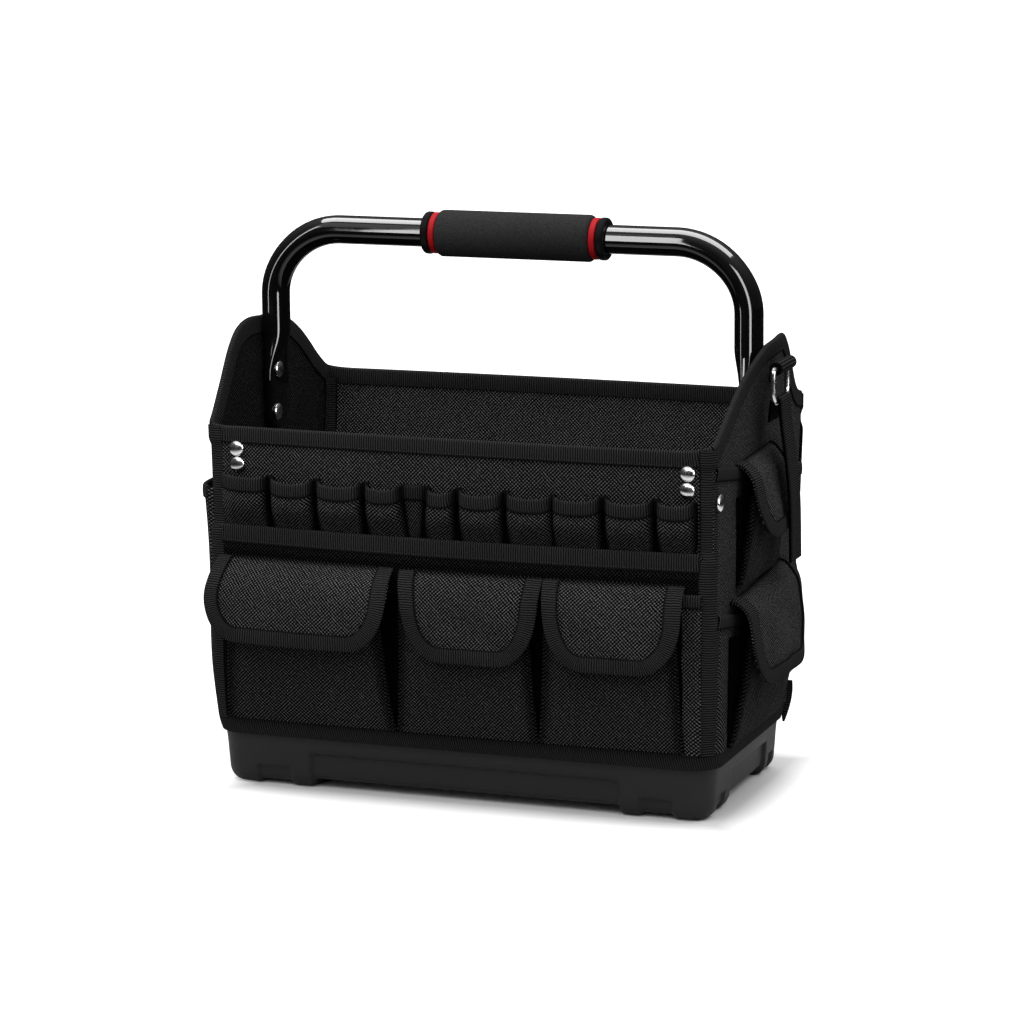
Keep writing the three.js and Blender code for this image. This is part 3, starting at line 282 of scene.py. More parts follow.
def lengths(points, axis=0):
    """Distance along a line of points, from its start."""
    steps = np.linalg.norm(np.diff(points, axis=axis), axis=-1)
    start = np.zeros_like(np.take(steps, [0], axis=axis))
    return np.concatenate([start, np.cumsum(steps, axis=axis)], axis=axis)


def grid_normals(points):
    """Unit normals of a grid of points: the cross product of its two directions."""
    return unit(np.cross(np.gradient(points, axis=1), np.gradient(points, axis=0)))


def ripple(u, v, height, span):
    """Soft waves of a given height, repeating unevenly about every span millimetres."""
    a, b = u * (2 * math.pi / span), v * (2 * math.pi / span)
    waves = np.sin(a + 1.3 * np.sin(0.61 * b + 0.4)) * np.cos(0.83 * b + 0.9 * np.sin(0.47 * a))
    return height * (waves + 0.5 * np.sin(1.9 * a - 1.1 * b + 0.7) * np.cos(0.7 * a + 1.7 * b))


# The bag's sides

def side_size(side, z):
    """Half sizes of a side at a height: its reach to the corner, its distance out, and the corner's
    radius.
    """
    half_x, half_y, corner = (smooth(z, BODY_Z, BODY[name]) for name in ("half_x", "half_y", "corner"))
    return (half_x, half_y, corner) if side.long else (half_y, half_x, corner)


def bow_out(side, run, flat, z):
    """How far a side bows out: a parabola along the run, and on the ends the lean beside the handle."""
    belly = np.maximum(0, 1 - (run / flat) ** 2)
    if side.long:
        return belly * smooth(z, BODY_Z, BODY["bow"])
    near_leg = ramp(np.abs(run), LEAN_ENDS_AT, LEAN_FULL_TO)
    return belly * smooth(z, BODY_Z, BODY["end_bow"]) + near_leg * smooth(z, LEAN_Z, LEAN)


def half_run(side, z):
    """Half the run of a side, from its middle to the middle of the corner's arc."""
    reach, _, corner = side_size(side, z)
    return reach - corner + corner * math.pi / 4


def to_bag(side, along, out, z):
    """Point of the bag from a place along a side, a distance out from the middle and a height."""
    along, out, z = np.broadcast_arrays(along, out, z)
    return np.stack([along * side.cos + out * side.sin, along * side.sin - out * side.cos, z], axis=-1)


def place(side, run, z, off):
    """Point at a run along a side, a height and a distance out: a rounded rectangle whose sides bow out."""
    run, z, off = np.broadcast_arrays(np.asarray(run, float), np.asarray(z, float), np.asarray(off, float))
    reach, out, corner = side_size(side, z)
    flat = reach - corner
    turn = np.maximum(0, np.abs(run) - flat) / corner
    straight = np.clip(run, -flat, flat)
    along = straight + np.sign(run) * (corner + off) * np.sin(turn)
    middle = out - corner + bow_out(side, straight, flat, z)
    return to_bag(side, along, middle + (corner + off) * np.cos(turn), z)


def place_flat(side, run, z, off):
    """Point in front of a side, for what stands off it and doesn't turn its corners."""
    run, z, off = np.broadcast_arrays(np.asarray(run, float), np.asarray(z, float), np.asarray(off, float))
    reach, out, corner = side_size(side, z)
    return to_bag(side, run, out + bow_out(side, run, reach - corner, z) + off, z)


def place_round(before, after, across, z, off):
    """Point beside the corner where two sides meet: on the first where across is negative, else on the
    second.
    """
    near = place(before, half_run(before, z) + np.minimum(across, 0), z, off)
    far = place(after, np.maximum(across, 0) - half_run(after, z), z, off)
    return np.where((across < 0)[..., None], near, far)


def top_edge(side, run):
    """Height of a side's top edge: the rim, and the curve up to the gable, which begins before the
    corner.
    """
    half = half_run(side, FRONT_RIM)
    past = half - np.abs(run)
    rim = mix(side.rim_start, side.rim_end, (run + half) / (2 * half))
    first, last = GABLE_CORNERS[side.name]
    if side.long:
        past = -past
    return rim + np.where(np.asarray(run) < 0, smooth(past, GABLE_PAST, GABLE_CLIMB[first]),
                          smooth(past, GABLE_PAST, GABLE_CLIMB[last]))


def stance(points):
    """The bag as it stands: each shift is its size times smooth steps along the spans given for it."""
    x, y, z = np.moveaxis(points, -1, 0)
    left = LEFT_OUT * ramp(z, *LEFT_Z) * ramp(x, *LEFT_X)
    back = (BACK_IN * ramp(z, *BACK_IN_Z) - BACK_OUT * ramp(z, *BACK_OUT_Z)) * ramp(y, *BACK_Y)
    lift = LIFT * ramp(z, *LIFT_Z) * (1 - ramp(z, *UNLIFT_Z))
    return np.stack([x - left, y - back, z + lift], axis=-1)


# Meshes

# open is each point's painted light, below 1 where shade is painted into folds and hollows; inner scales it
# on the inner face.
Shell = namedtuple("Shell", "points uv thick wrap open inner")


def shell(points, thick, uv=None, wrap=False, open_=1.0, inner=1.0):
    """Sheet of cloth: a grid of points, its flat coordinates in metres, a thickness to its outer side,
    and the painted light of each point, from 0, deepest painted shade in a fold, to 1, unshaded, with a
    share of it for the inner face.
    """
    if uv is None:
        across = lengths(points, axis=1)
        down = lengths(points, axis=0)
        middle = across[:, [across.shape[1] // 2]]
        uv = np.stack([across - middle, down], axis=-1)
    return Shell(points, uv * MM, thick, wrap, np.broadcast_to(open_, points.shape[:2]), inner)


def band(points, thick=TAPE):
    """Flat tape from a grid of points (place across it, place along it)."""
    along = lengths(points, axis=1)
    across = lengths(points, axis=0)
    return shell(points, thick, np.stack([along, across], axis=-1))


def quads_of(index):
    """Four corners of each cell of a grid of vertex numbers."""
    corners = [index[:-1, :-1], index[:-1, 1:], index[1:, 1:], index[1:, :-1]]
    return np.stack(corners, axis=-1).reshape(-1, 4)


def shell_faces(sheet, first):
    """Points, faces and corner coordinates of a closed sheet: inner grid, outer grid and the strip
    between.
    """
    rows, columns = sheet.points.shape[:2]
    normals = grid_normals(sheet.points)
    if sheet.wrap:
        ahead = np.roll(sheet.points, -1, axis=1) - np.roll(sheet.points, 1, axis=1)
        normals = unit(np.cross(ahead, np.gradient(sheet.points, axis=0)))
    outer = sheet.points + normals * sheet.thick
    points = np.concatenate([sheet.points.reshape(-1, 3), outer.reshape(-1, 3)])
    grid = np.arange(rows * columns).reshape(rows, columns)
    if sheet.wrap:
        grid = np.concatenate([grid, grid[:, :1]], axis=1)
    flat = sheet.uv.reshape(-1, 2)
    corner = np.arange(len(flat)).reshape(sheet.uv.shape[:2])
    far = rows * columns
    faces = [quads_of(grid)[:, ::-1], quads_of(grid) + far]
    coordinates = [flat[quads_of(corner)[:, ::-1]], flat[quads_of(corner)]]
    edges = [(grid[0], corner[0]), (grid[-1][::-1], corner[-1][::-1])]
    if not sheet.wrap:
        edges += [(grid[::-1, 0], corner[::-1, 0]), (grid[:, -1], corner[:, -1])]
    for line, marks in edges:
        faces.append(np.stack([line[:-1], line[1:], line[1:] + far, line[:-1] + far], axis=-1))
        coordinates.append(flat[np.stack([marks[:-1], marks[1:], marks[1:], marks[:-1]], axis=-1)])
    return points, np.concatenate(faces) + first, np.concatenate(coordinates)


def mesh_object(name, points, faces, uv=None, open_=None, sharp=40):
    """Object at the origin from points in millimetres, with edges sharper than an angle kept crisp."""
    mesh = bpy.data.meshes.new(name)
    mesh.from_pydata((stance(points) * MM + MIDDLE).tolist(), [], [list(face) for face in faces])
    # The open attribute is painted light: below 1 it darkens the cloth as painted shade.
    if open_ is not None:
        openness = mesh.attributes.new("open", "FLOAT", "POINT")
        openness.data.foreach_set("value", np.ascontiguousarray(open_, np.float32))
    if uv is not None:
        layer = mesh.uv_layers.new(name="cloth")
        layer.data.foreach_set("uv", np.ascontiguousarray(uv, np.float32).ravel())
    mesh.polygons.foreach_set("use_smooth", np.ones(len(mesh.polygons), bool))
    mesh.set_sharp_from_angle(angle=math.radians(sharp))
    mesh.update()
    thing = bpy.data.objects.new(name, mesh)
    bpy.context.scene.collection.objects.link(thing)
    return thing


def finish_piece(thing, material, nodes=()):
    thing.data.materials.append(material)
    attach(thing, "root")
    if nodes:
        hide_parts(*nodes)
    return thing


def cloth_piece(name, sheets, material, nodes=()):
    """Piece made of one or more closed sheets."""
    points, faces, uv, open_ = [], [], [], []
    first = 0
    for sheet in sheets:
        some, cells, marks = shell_faces(sheet, first)
        first += len(some)
        points.append(some)
        faces.append(cells)
        uv.append(marks.reshape(-1, 2))
        # Painted light of the inner copy, scaled by the inner share, then of the outer copy.
        open_ += [sheet.open.ravel() * sheet.inner, sheet.open.ravel()]
    thing = mesh_object(name, *(np.concatenate(part) for part in (points, faces, uv, open_)))
    return finish_piece(thing, material, nodes)


def loft_object(name, rings, material, nodes=(), closed=False, sharp=40):
    """Body through equal rings of points (ring, place round it); the ends are closed unless the run is."""
    count, around = rings.shape[:2]
    grid = np.arange(count * around).reshape(count, around)
    grid = np.concatenate([grid, grid[:, :1]], axis=1)
    if closed:
        grid = np.concatenate([grid, grid[:1]], axis=0)
    faces = [list(face) for face in quads_of(grid)]
    if not closed:
        faces += [list(range(around))[::-1], list(range((count - 1) * around, count * around))]
    points = rings.reshape(-1, 3)
    a, b, c = (points[[face[i] for face in faces]] for i in range(3))
    if np.einsum("ij,ij->i", a, np.cross(b, c)).sum() < 0:
        faces = [face[::-1] for face in faces]
    return finish_piece(mesh_object(name, points, faces, sharp=sharp), material, nodes)


# Shader node groups and materials

class Value:
    """What a shader node puts out. Arithmetic on it adds Math nodes to its tree."""

    def __init__(self, tree, socket):
        self.tree = tree
        self.socket = socket

    def to(self, socket):
        self.tree.links.new(self.socket, socket)

    def by(self, operation, *others):
        node = self.tree.nodes.new("ShaderNodeMath")
        node.operation = operation
        for socket, value in zip(node.inputs, (self, *others)):
            feed(socket, value)
        return Value(self.tree, node.outputs[0])

    def __add__(self, other):
        return self.by("ADD", other)

    def __sub__(self, other):
        return self.by("SUBTRACT", other)

    def __mul__(self, other):
        return self.by("MULTIPLY", other)

    def __truediv__(self, other):
        return self.by("DIVIDE", other)

    def __pow__(self, other):
        return self.by("POWER", other)


def feed(socket, value):
    """Links a value to a socket, or sets the socket to a number."""
    if isinstance(value, Value):
        value.to(socket)
    else:
        socket.default_value = value


def values_of(tree, node):
    """What a node puts out, by name."""
    return {socket.name: Value(tree, socket) for socket in node.outputs}


def values_from(tree, kind):
    return values_of(tree, tree.nodes.new(kind))


def axes_of(vector):
    """The three parts of a vector."""
    node = vector.tree.nodes.new("ShaderNodeSeparateXYZ")
    vector.to(node.inputs[0])
    return [Value(vector.tree, socket) for socket in node.outputs]


def noise_at(vector, scale, detail=2.0):
    node = vector.tree.nodes.new("ShaderNodeTexNoise")
    vector.to(node.inputs["Vector"])
    feed(node.inputs["Scale"], scale)
    node.inputs["Detail"].default_value = detail
    return Value(vector.tree, node.outputs["Fac"])


def new_group(name, inputs, outputs):
    """Shader node group with named sockets, of which Vector is the only one that isn't a number: the
    tree, the values given to it, and the sockets of what it makes.
    """
    tree = bpy.data.node_groups.new(name, "ShaderNodeTree")
    for label in inputs:
        kind = "NodeSocketVector" if label == "Vector" else "NodeSocketFloat"
        tree.interface.new_socket(label, in_out="INPUT", socket_type=kind)
    for label in outputs:
        tree.interface.new_socket(label, in_out="OUTPUT", socket_type="NodeSocketFloat")
    given = values_from(tree, "NodeGroupInput")
    made = tree.nodes.new("NodeGroupOutput").inputs
    return tree, [given[label] for label in inputs], made


THREADS_IN, THREADS_OUT = ("Vector", "Pitch", "Wander"), ("Height", "Shade")


def weave_group():
    """Plain weave: raised cells alternate like a chequer, as two sets of diagonal stripes whose shares
    wander.

    With a and b the places in pitches and k a slow noise, the height is a power of 1 / 2 + ((1 + k)
    cos(pi (a - b)) - (1 - k) cos(pi (a + b))) / 4.
    """
    tree, (where, pitch, wander), made = new_group("weave", THREADS_IN, THREADS_OUT)
    drift = (noise_at(where, 55) + noise_at(where, 360, 1.0) - 1.0) * wander
    a, b = ((axis + drift) / pitch for axis in axes_of(where)[:2])
    share = (noise_at(where, 130, 1.0) - 0.5) * 2.6
    rising = ((a - b) * math.pi).by("COSINE") * (share + 1.0)
    falling = ((a + b) * math.pi).by("COSINE") * (share * -1.0 + 1.0)
    height = ((rising - falling) * 0.25 + 0.5).by("MAXIMUM", 0.0) ** 3.6
    fuzz = noise_at(where, 420, 1.0) * 1.6 + 0.2
    height.to(made["Height"])
    (height * fuzz).to(made["Shade"])
    return tree


def ribs_group():
    """Ribs across a tape: a power of |sin(pi u / pitch)| along its length, uneven by a little noise, and
    sunk along its sewn edge, in relief and in colour: the darker edge is a painted shadow line.
    """
    tree, (where, pitch, wander), made = new_group("ribs", THREADS_IN, THREADS_OUT)
    along, across = axes_of(where)[:2]
    drift = (noise_at(where, 140) - 0.5) * wander
    rib = ((along + drift) / pitch * math.pi).by("SINE").by("ABSOLUTE")
    # Lower and painted darker along the sewn edge: a painted shadow line where tape meets cloth.
    edge = (across.by("ABSOLUTE") / 0.0018).by("MINIMUM", 1.0) * 0.85 + 0.15
    height = rib ** 1.3 * edge
    fuzz = noise_at(where, 700, 1.0) * 0.6 + 0.7
    height.to(made["Height"])
    (height * fuzz).to(made["Shade"])
    return tree


def mottle_group():
    """Uneven tone: noise about the value 1, by a strength."""
    tree, (where, scale, strength), made = new_group("mottle", ("Vector", "Scale", "Strength"), ("Value",))
    ((noise_at(where, scale, 4.0) - 0.5) * strength + 1.0).to(made["Value"])
    return tree


WEAVE, RIBS, MOTTLE = weave_group(), ribs_group(), mottle_group()


def place_group(group, vector, **numbers):
    """Puts a node group into a material, with its numbers: what it puts out, by name."""
    node = vector.tree.nodes.new("ShaderNodeGroup")
    node.node_tree = group
    vector.to(node.inputs["Vector"])
    for label, number in numbers.items():
        node.inputs[label].default_value = number
    return values_of(vector.tree, node)


def new_material(name, roughness, metallic=0.0, **sockets):
    """Material with plain values set on its shader's own sockets, the tree and the shader."""
    material = bpy.data.materials.new(name)
    material.use_nodes = True
    tree = material.node_tree
    shader = tree.nodes["Principled BSDF"]
    shader.inputs["Roughness"].default_value = roughness
    shader.inputs["Metallic"].default_value = metallic
    for label, value in sockets.items():
        shader.inputs[label.replace("_", " ")].default_value = value
    return material, tree, shader


def colour_between(shader, factor, dark, light):
    """Base colour from dark to light by a factor."""
    node = factor.tree.nodes.new("ShaderNodeMix")
    node.data_type = "RGBA"
    node.inputs["A"].default_value = (*dark, 1)
    node.inputs["B"].default_value = (*light, 1)
    factor.to(node.inputs["Factor"])
    factor.tree.links.new(node.outputs["Result"], shader.inputs["Base Color"])


def raise_surface(shader, height, distance):
    node = height.tree.nodes.new("ShaderNodeBump")
    node.inputs["Strength"].default_value = 1.0
    node.inputs["Distance"].default_value = distance
    height.to(node.inputs["Height"])
    height.tree.links.new(node.outputs["Normal"], shader.inputs["Normal"])


def fabric(name, group, pitch, light, wander, bump):
    """Cloth or tape: a weave or ribs give its colour and relief, slow mottling its uneven tone, and the
    open attribute darkens it with painted shade in folds, hollows and under flaps.
    """
    material, tree, shader = new_material(name, 0.9, **MATT)
    where = values_from(tree, "ShaderNodeTexCoord")
    threads = place_group(group, where["UV"], Pitch=pitch, Wander=wander)
    tone = place_group(MOTTLE, where["Object"], Scale=14.0, Strength=0.5)["Value"]
    # Painted shade: the open attribute scales the tone, darkening the colour where shade would fall.
    fold = tree.nodes.new("ShaderNodeAttribute")
    fold.attribute_name = "open"
    tone = tone * Value(tree, fold.outputs["Fac"])
    colour_between(shader, threads["Shade"] * tone, BLACK, light)
    raise_surface(shader, threads["Height"], bump)
    return material


def grained(name, dark, light, roughness, scale, bump, **sockets):
    """Moulded or foamed surface: fine noise gives its colour and grain."""
    material, tree, shader = new_material(name, roughness, **sockets)
    where = values_from(tree, "ShaderNodeTexCoord")["Object"]
    grain = noise_at(where, scale, 3.0)
    tone = place_group(MOTTLE, where, Scale=18.0, Strength=0.5)["Value"]
    colour_between(shader, grain * tone, dark, light)
    raise_surface(shader, grain, bump)
    return material


def polished(name, colour, low, high, scale, metallic=0.0):
    """Smooth hard surface whose roughness varies a little, as handling leaves it."""
    material, tree, shader = new_material(name, low, metallic)
    shader.inputs["Base Color"].default_value = (*colour, 1)
    span = tree.nodes.new("ShaderNodeMapRange")
    for label, number in (("From Min", 0.35), ("From Max", 0.7), ("To Min", low), ("To Max", high)):
        span.inputs[label].default_value = number
    noise_at(values_from(tree, "ShaderNodeTexCoord")["Object"], scale, 5.0).to(span.inputs["Value"])
    tree.links.new(span.outputs["Result"], shader.inputs["Roughness"])
    return material


MATT = {"Specular_IOR_Level": 0.02}
SATIN = {"Specular_IOR_Level": 0.2}
BLACK = (0.0006, 0.0006, 0.0007)
WALL_CLOTH = fabric("wall cloth", WEAVE, 0.00143, (0.25, 0.25, 0.258), 0.0008, 0.0003)
TAPE_CLOTH = fabric("binding tape", RIBS, 0.00185, (0.052, 0.052, 0.053), 0.0014, 0.0004)
STRAP_CLOTH = fabric("webbing", RIBS, 0.0018, (0.044, 0.044, 0.045), 0.001, 0.0004)
THREAD = grained("thread", (0.03, 0.03, 0.03), (0.09, 0.09, 0.09), 0.8, 600, 0.00003, **MATT)
TRAY_PLASTIC = grained("tray plastic", (0.016, 0.016, 0.0165), (0.038, 0.038, 0.039), 0.55, 1800, 0.00006,
                       Specular_IOR_Level=0.25)
GRIP_FOAM = grained("grip foam", (0.01, 0.01, 0.01), (0.068, 0.068, 0.068), 0.95, 900, 0.0003, **MATT)
BLACK_PLASTIC = grained("black plastic", (0.003, 0.003, 0.003), (0.008, 0.008, 0.008), 0.5, 1500, 0.00004,
                        **SATIN)
RED_PLASTIC = grained("red plastic", (0.5, 0.006, 0.012), (0.66, 0.012, 0.02), 0.5, 1200, 0.00004, **SATIN)
GLOSS_PAINT = polished("gloss paint", (0.0045, 0.0045, 0.005), 0.04, 0.1, 40)
NICKEL = polished("nickel", (0.74, 0.74, 0.75), 0.14, 0.26, 160, metallic=1.0)


def cut_cloth(name, sheet, node, material=WALL_CLOTH):
    """Piece of one sheet that stands for a node.
    """
    piece = cloth_piece(name, [sheet], material, [node])


def tape_piece(name, tapes, nodes=()):
    cloth_piece(name, tapes, TAPE_CLOTH, nodes)


# Thread

SEAMS = []


def sew(sheet, row):
    """Notes a seam along one row of a tape's outer face."""
    normals = grid_normals(sheet.points)
    SEAMS.append((sheet.points[row] + normals[row] * sheet.thick, normals[row]))


def along_line(values, travel, at):
    return np.stack([np.interp(at, travel, values[:, i]) for i in range(3)], axis=-1)


def add_thread():
    """Stitches along every seam: at an even pitch, a lozenge of six points, long, narrow and low."""
    points, faces = [], []
    upper = [(2, 1, 4), (1, 0, 4), (0, 3, 4), (3, 2, 4)]
    lower = [(1, 2, 5), (0, 1, 5), (3, 0, 5), (2, 3, 5)]
    for line, normals in SEAMS:
        travel = lengths(line)
        at = np.arange(STITCH_PITCH, travel[-1] - STITCH_PITCH, STITCH_PITCH)
        middle = along_line(line, travel, at)
        out = unit(along_line(normals, travel, at))
        way = unit(along_line(line, travel, at + 0.5) - along_line(line, travel, at - 0.5))
        ends = way * STITCH_LONG / 2
        flanks = np.cross(out, way) * STITCH_WIDE / 2
        tall = out * STITCH_TALL
        corners = [-ends, flanks, ends, -flanks, tall, -tall]
        first = sum(len(part) for part in points)
        numbers = first + 6 * np.arange(len(at))[:, None, None]
        faces.append((numbers + np.array(upper + lower)).reshape(-1, 3))
        points.append(np.stack([middle + corner for corner in corners], axis=1).reshape(-1, 3))
    thread = mesh_object("stitches", np.concatenate(points), np.concatenate(faces), sharp=80)
    finish_piece(thread, THREAD)


# Walls and tapes

def wall_sheet(side):
    """Wall: runs across it, and heights from the tray to its top edge, with slow ripples that die at its
    edges.
    """
    share, rise = np.meshgrid(np.linspace(-1, 1, 121), np.linspace(0, 1, 49))
    top = top_edge(side, share * half_run(side, FRONT_RIM))
    z = mix(CLOTH_FOOT, top, rise)
    run = share * half_run(side, z) * 0.999
    wave = ripple(run, z, 0.5, 90) * np.sin(math.pi * rise) * (1 - share ** 4)
    points = place(side, run, z, wave - CLOTH)
    # The inner face gets its own painted light: lighter on the back, darker on the left end.
    return shell(points, CLOTH, np.stack([run, z], axis=-1), inner=INSIDE_PAINTED_LIGHT[side.name])


def add_walls():
    for side, node in zip(SIDES, ("front_panel", "end_panel_right", "back_panel", "end_panel_left")):
        cut_cloth(f"{side.name}_wall", wall_sheet(side), node)


def fold_profile(width, face, back):
    """Section of a tape folded over an edge: distance in from the edge, and distance out from the cloth's
    face.

    Two flat legs, a little raised between their edges, joined by a half circle round the edge.
    """
    leg = np.linspace(1, 0, 7)
    raised = 0.3 * np.sin(math.pi * leg)
    radius = (face - back) / 2 + TAPE_GAP
    angle = np.linspace(0, math.pi, 9)[1:-1]
    inward = np.concatenate([leg * width, -radius * np.sin(angle), leg[::-1] * width])
    middle = (face + back) / 2
    turn = middle + radius * np.cos(angle)
    return inward, np.concatenate([face + TAPE_GAP + raised, turn, back - TAPE_GAP - raised[::-1]])


def travelled(x, y):
    """Distance along a flat line, from its start."""
    return np.concatenate([[0], np.cumsum(np.hypot(np.diff(x), np.diff(y)))])


def edge_tape(side, edge, runs, width, face, back, put=place):
    """Tape folded over a side's top edge: the fold's section carried along the edge, square to it."""
    inward, off = fold_profile(width, face, back)
    nudge = 0.5
    climb = (edge(runs + nudge) - edge(runs - nudge)) / (2 * nudge)
    length = np.hypot(1, climb)
    along = runs[None, :] + (climb / length)[None, :] * inward[:, None]
    z = edge(runs)[None, :] - inward[:, None] / length[None, :]
    points = put(side, along, z, np.broadcast_to(off[:, None], along.shape))
    uv = np.stack(np.meshgrid(travelled(runs, edge(runs)), travelled(inward, off)), axis=-1)
    return shell(points, TAPE, uv)


def layers_out(side, z):
    """How far out the layers on a side reach at its corners."""
    return sum(thick * ease((top + 3 - z) / 8) for top, thick in LAYERS[side.name])


def corner_tape(before, after, width_before, width_after, top):
    """Band down a corner, lying on the layers of both of the sides that meet there and over the rims'
    tapes.
    """
    z = np.linspace(BASE_TAPE_FOOT + BASE_TAPE - 2, top, 90)[None, :]
    across = np.linspace(-width_before, width_after, 19)[:, None]
    off = CORNER_TAPE_GAP + mix(layers_out(before, z), layers_out(after, z), ramp(across, -4, 4))
    off = off + 2 * TAPE * ease((z - top + RIM_TAPE + 5) / 5)
    return band(place_round(before, after, across, z, off))


def add_wall_tapes():
    for side, node in ((FRONT, "front_rim_binding"), (BACK, "back_rim_binding")):
        half = half_run(side, FRONT_RIM) - 0.5
        tape = edge_tape(side, partial(top_edge, side), np.linspace(-half, half, 240), RIM_TAPE, 0, -CLOTH)
        sew(tape, 1)
        tape_piece(f"{side.name}_rim_tape", [tape], [node])
    for side, before, after in ((RIGHT, FRONT, BACK), (LEFT, BACK, FRONT)):
        half = half_run(side, FRONT_RIM) - 0.5
        tops = [top_edge(side, run) - CORNER_TAPE_BELOW_RIM for run in (-half, half)]
        runs = np.linspace(-half, half, 180)
        gable = edge_tape(side, partial(top_edge, side), runs, GABLE_TAPE, 0, -CLOTH)
        first = corner_tape(before, side, CORNER_TAPE_LONG, CORNER_TAPE_END, tops[0])
        last = corner_tape(side, after, CORNER_TAPE_END, CORNER_TAPE_LONG, tops[1])
        sew(gable, 1)
        for tape in (first, last):
            sew(tape, 1)
            sew(tape, -2)
        tape_piece(f"{side.name}_end_tape", [gable, first, last], [f"end_binding_{side.name}"])
    z = np.linspace(BASE_TAPE_FOOT, BASE_TAPE_FOOT + BASE_TAPE, 9)[::-1, None]
    share = np.linspace(-1, 1, 121)[None, :-1]
    rise = (z - BASE_TAPE_FOOT) / BASE_TAPE
    raised = mix(0.6, 2.4, rise) + 0.5 * np.sin(math.pi * rise)
    ring = np.concatenate([place(side, share * half_run(side, z), z, raised) for side in SIDES], axis=1)
    around = lengths(np.concatenate([ring, ring[:, :1]], axis=1), axis=1)
    uv = np.stack([around, np.broadcast_to(z, around.shape)], axis=-1)
    tape = shell(ring, TAPE + 0.4, uv, wrap=True)
    sew(tape, 1)
    tape_piece("base_tape", [tape], ["base_binding"])


def add_inner_tapes():
    """Band down the inside of each corner, covering the seam between two walls."""
    across = np.linspace(-INNER_TAPE_HALF, INNER_TAPE_HALF, 15)[:, None]
    tapes = []
    for before, after in zip(SIDES, SIDES[1:] + SIDES[:1]):
        z = np.linspace(BASE_TAPE_FOOT + BASE_TAPE, before.rim_end - 6, 60)[None, :]
        tapes.append(band(place_round(before, after, across, z, -CLOTH - TAPE - 0.3)))
    tape_piece("inner_corner_tapes", tapes)


def add_tape_tail():
    """Loose end of tape at the back right corner: a leaf that narrows to both ends and faces forward."""
    drop = np.linspace(0, 1, 25)[None, :]
    across = np.linspace(-1, 1, 7)[:, None] * 3.6 * np.sin(math.pi * mix(0.22, 0.97, drop)) ** 0.7
    x = mix(203.0, 199.0, drop) + across
    y = 96.0 + 1.5 * np.sin(5 * drop) + 0 * across
    z = mix(66.0, 33.0, drop)
    tape_piece("base_tape_tail", [band(np.stack(np.broadcast_arrays(x, y, z), axis=-1))])


# Layers that lie on the sides

def slant(height, slope=0.0):
    """Straight edge across a side: its height at the middle, and its slope."""
    return lambda run: height + slope * run


def layer_end(side, z):
    """Run at which a layer on a side ends, under the corner's tape."""
    return half_run(side, z) - (CORNER_TAPE_LONG if side.long else CORNER_TAPE_END) + LAYER_UNDER_TAPE


def layer_start(side, z):
    return -layer_end(side, z)


def layer(side, top, off, swell=0.0, square=2, painted_shade_below=0.0, columns=81, start=layer_start):
    """Flat layer on a side from one edge to the other, swelling out in its upper middle, with painted shade
    below a given height.
    """
    share, rise = np.meshgrid(np.linspace(0, 1, columns), np.linspace(0, 1, 33))
    z = mix(APRON_FOOT, top(mix(start(side, APRON_FOOT), layer_end(side, APRON_FOOT), share)), rise)
    run = mix(start(side, z), layer_end(side, z), share)
    wave = ripple(run, z, 0.25, 70) * np.sin(math.pi * share)
    out = off + swell * (1 - np.abs(2 * share - 1) ** square) * rise + wave
    # Painted shade: darker below the given height, where the flaps would shade the layer.
    open_ = mix(0.12, 1.0, ramp(z, painted_shade_below - 5, painted_shade_below + 5))
    return shell(place(side, run, z, out), POCKET_CLOTH, np.stack([run, z], axis=-1), open_=open_)


def slip_top(side, top, off, swell=0.0, square=2, start=layer_start):
    """Tape over a layer's top edge, following its swell."""
    first, last = start(side, top(0.0)), layer_end(side, top(0.0))

    def put(where, run, z, out):
        share = np.clip((run - first) / (last - first), 0, 1)
        return place(where, run, z, out + swell * (1 - np.abs(2 * share - 1) ** square))

    inset = 0.0 if side.long else SLIP_TAPE_INSET
    runs = np.linspace(first + inset, last - inset, 120)
    return edge_tape(side, top, runs, SLIP_TAPE, off + POCKET_CLOTH, off, put)


def strip_start(side, z):
    return STRIP_START


def add_layers():
    for side in (FRONT, BACK):
        name = side.name
        sheet = layer(side, slant(APRON_TOP), APRON_OFF, painted_shade_below=APRON_PAINTED_SHADE_BELOW)
        cut_cloth(f"{name}_lower_layer", sheet, f"{name}_apron")
        end = layer_end(side, APRON_TOP) - 2
        runs = np.linspace(-end, end, 240)
        tape = edge_tape(side, slant(APRON_TOP), runs, APRON_TAPE, APRON_OFF + POCKET_CLOTH, APRON_OFF)
        sew(tape, 1)
        tape_piece(f"{name}_lower_layer_tape", [tape], [f"{name}_apron_binding"])
    strip = layer(FRONT, slant(STRIP_TOP), POCKET_SEAT, columns=13, start=strip_start)
    cut_cloth("front_strip", strip, "front_edge_strip")
    tape_piece("front_strip_tape", [slip_top(FRONT, slant(STRIP_TOP), POCKET_SEAT, start=strip_start)])
    for side, node, middle, slope, off, swell in SLIPS:
        sheet = layer(side, slant(middle, slope), off, swell, SLIP_SQUARENESS)
        cut_cloth(f"{node}_cloth", sheet, node)
        tape_piece(f"{node}_tape", [slip_top(side, slant(middle, slope), off, swell, SLIP_SQUARENESS)])


# Tool loops

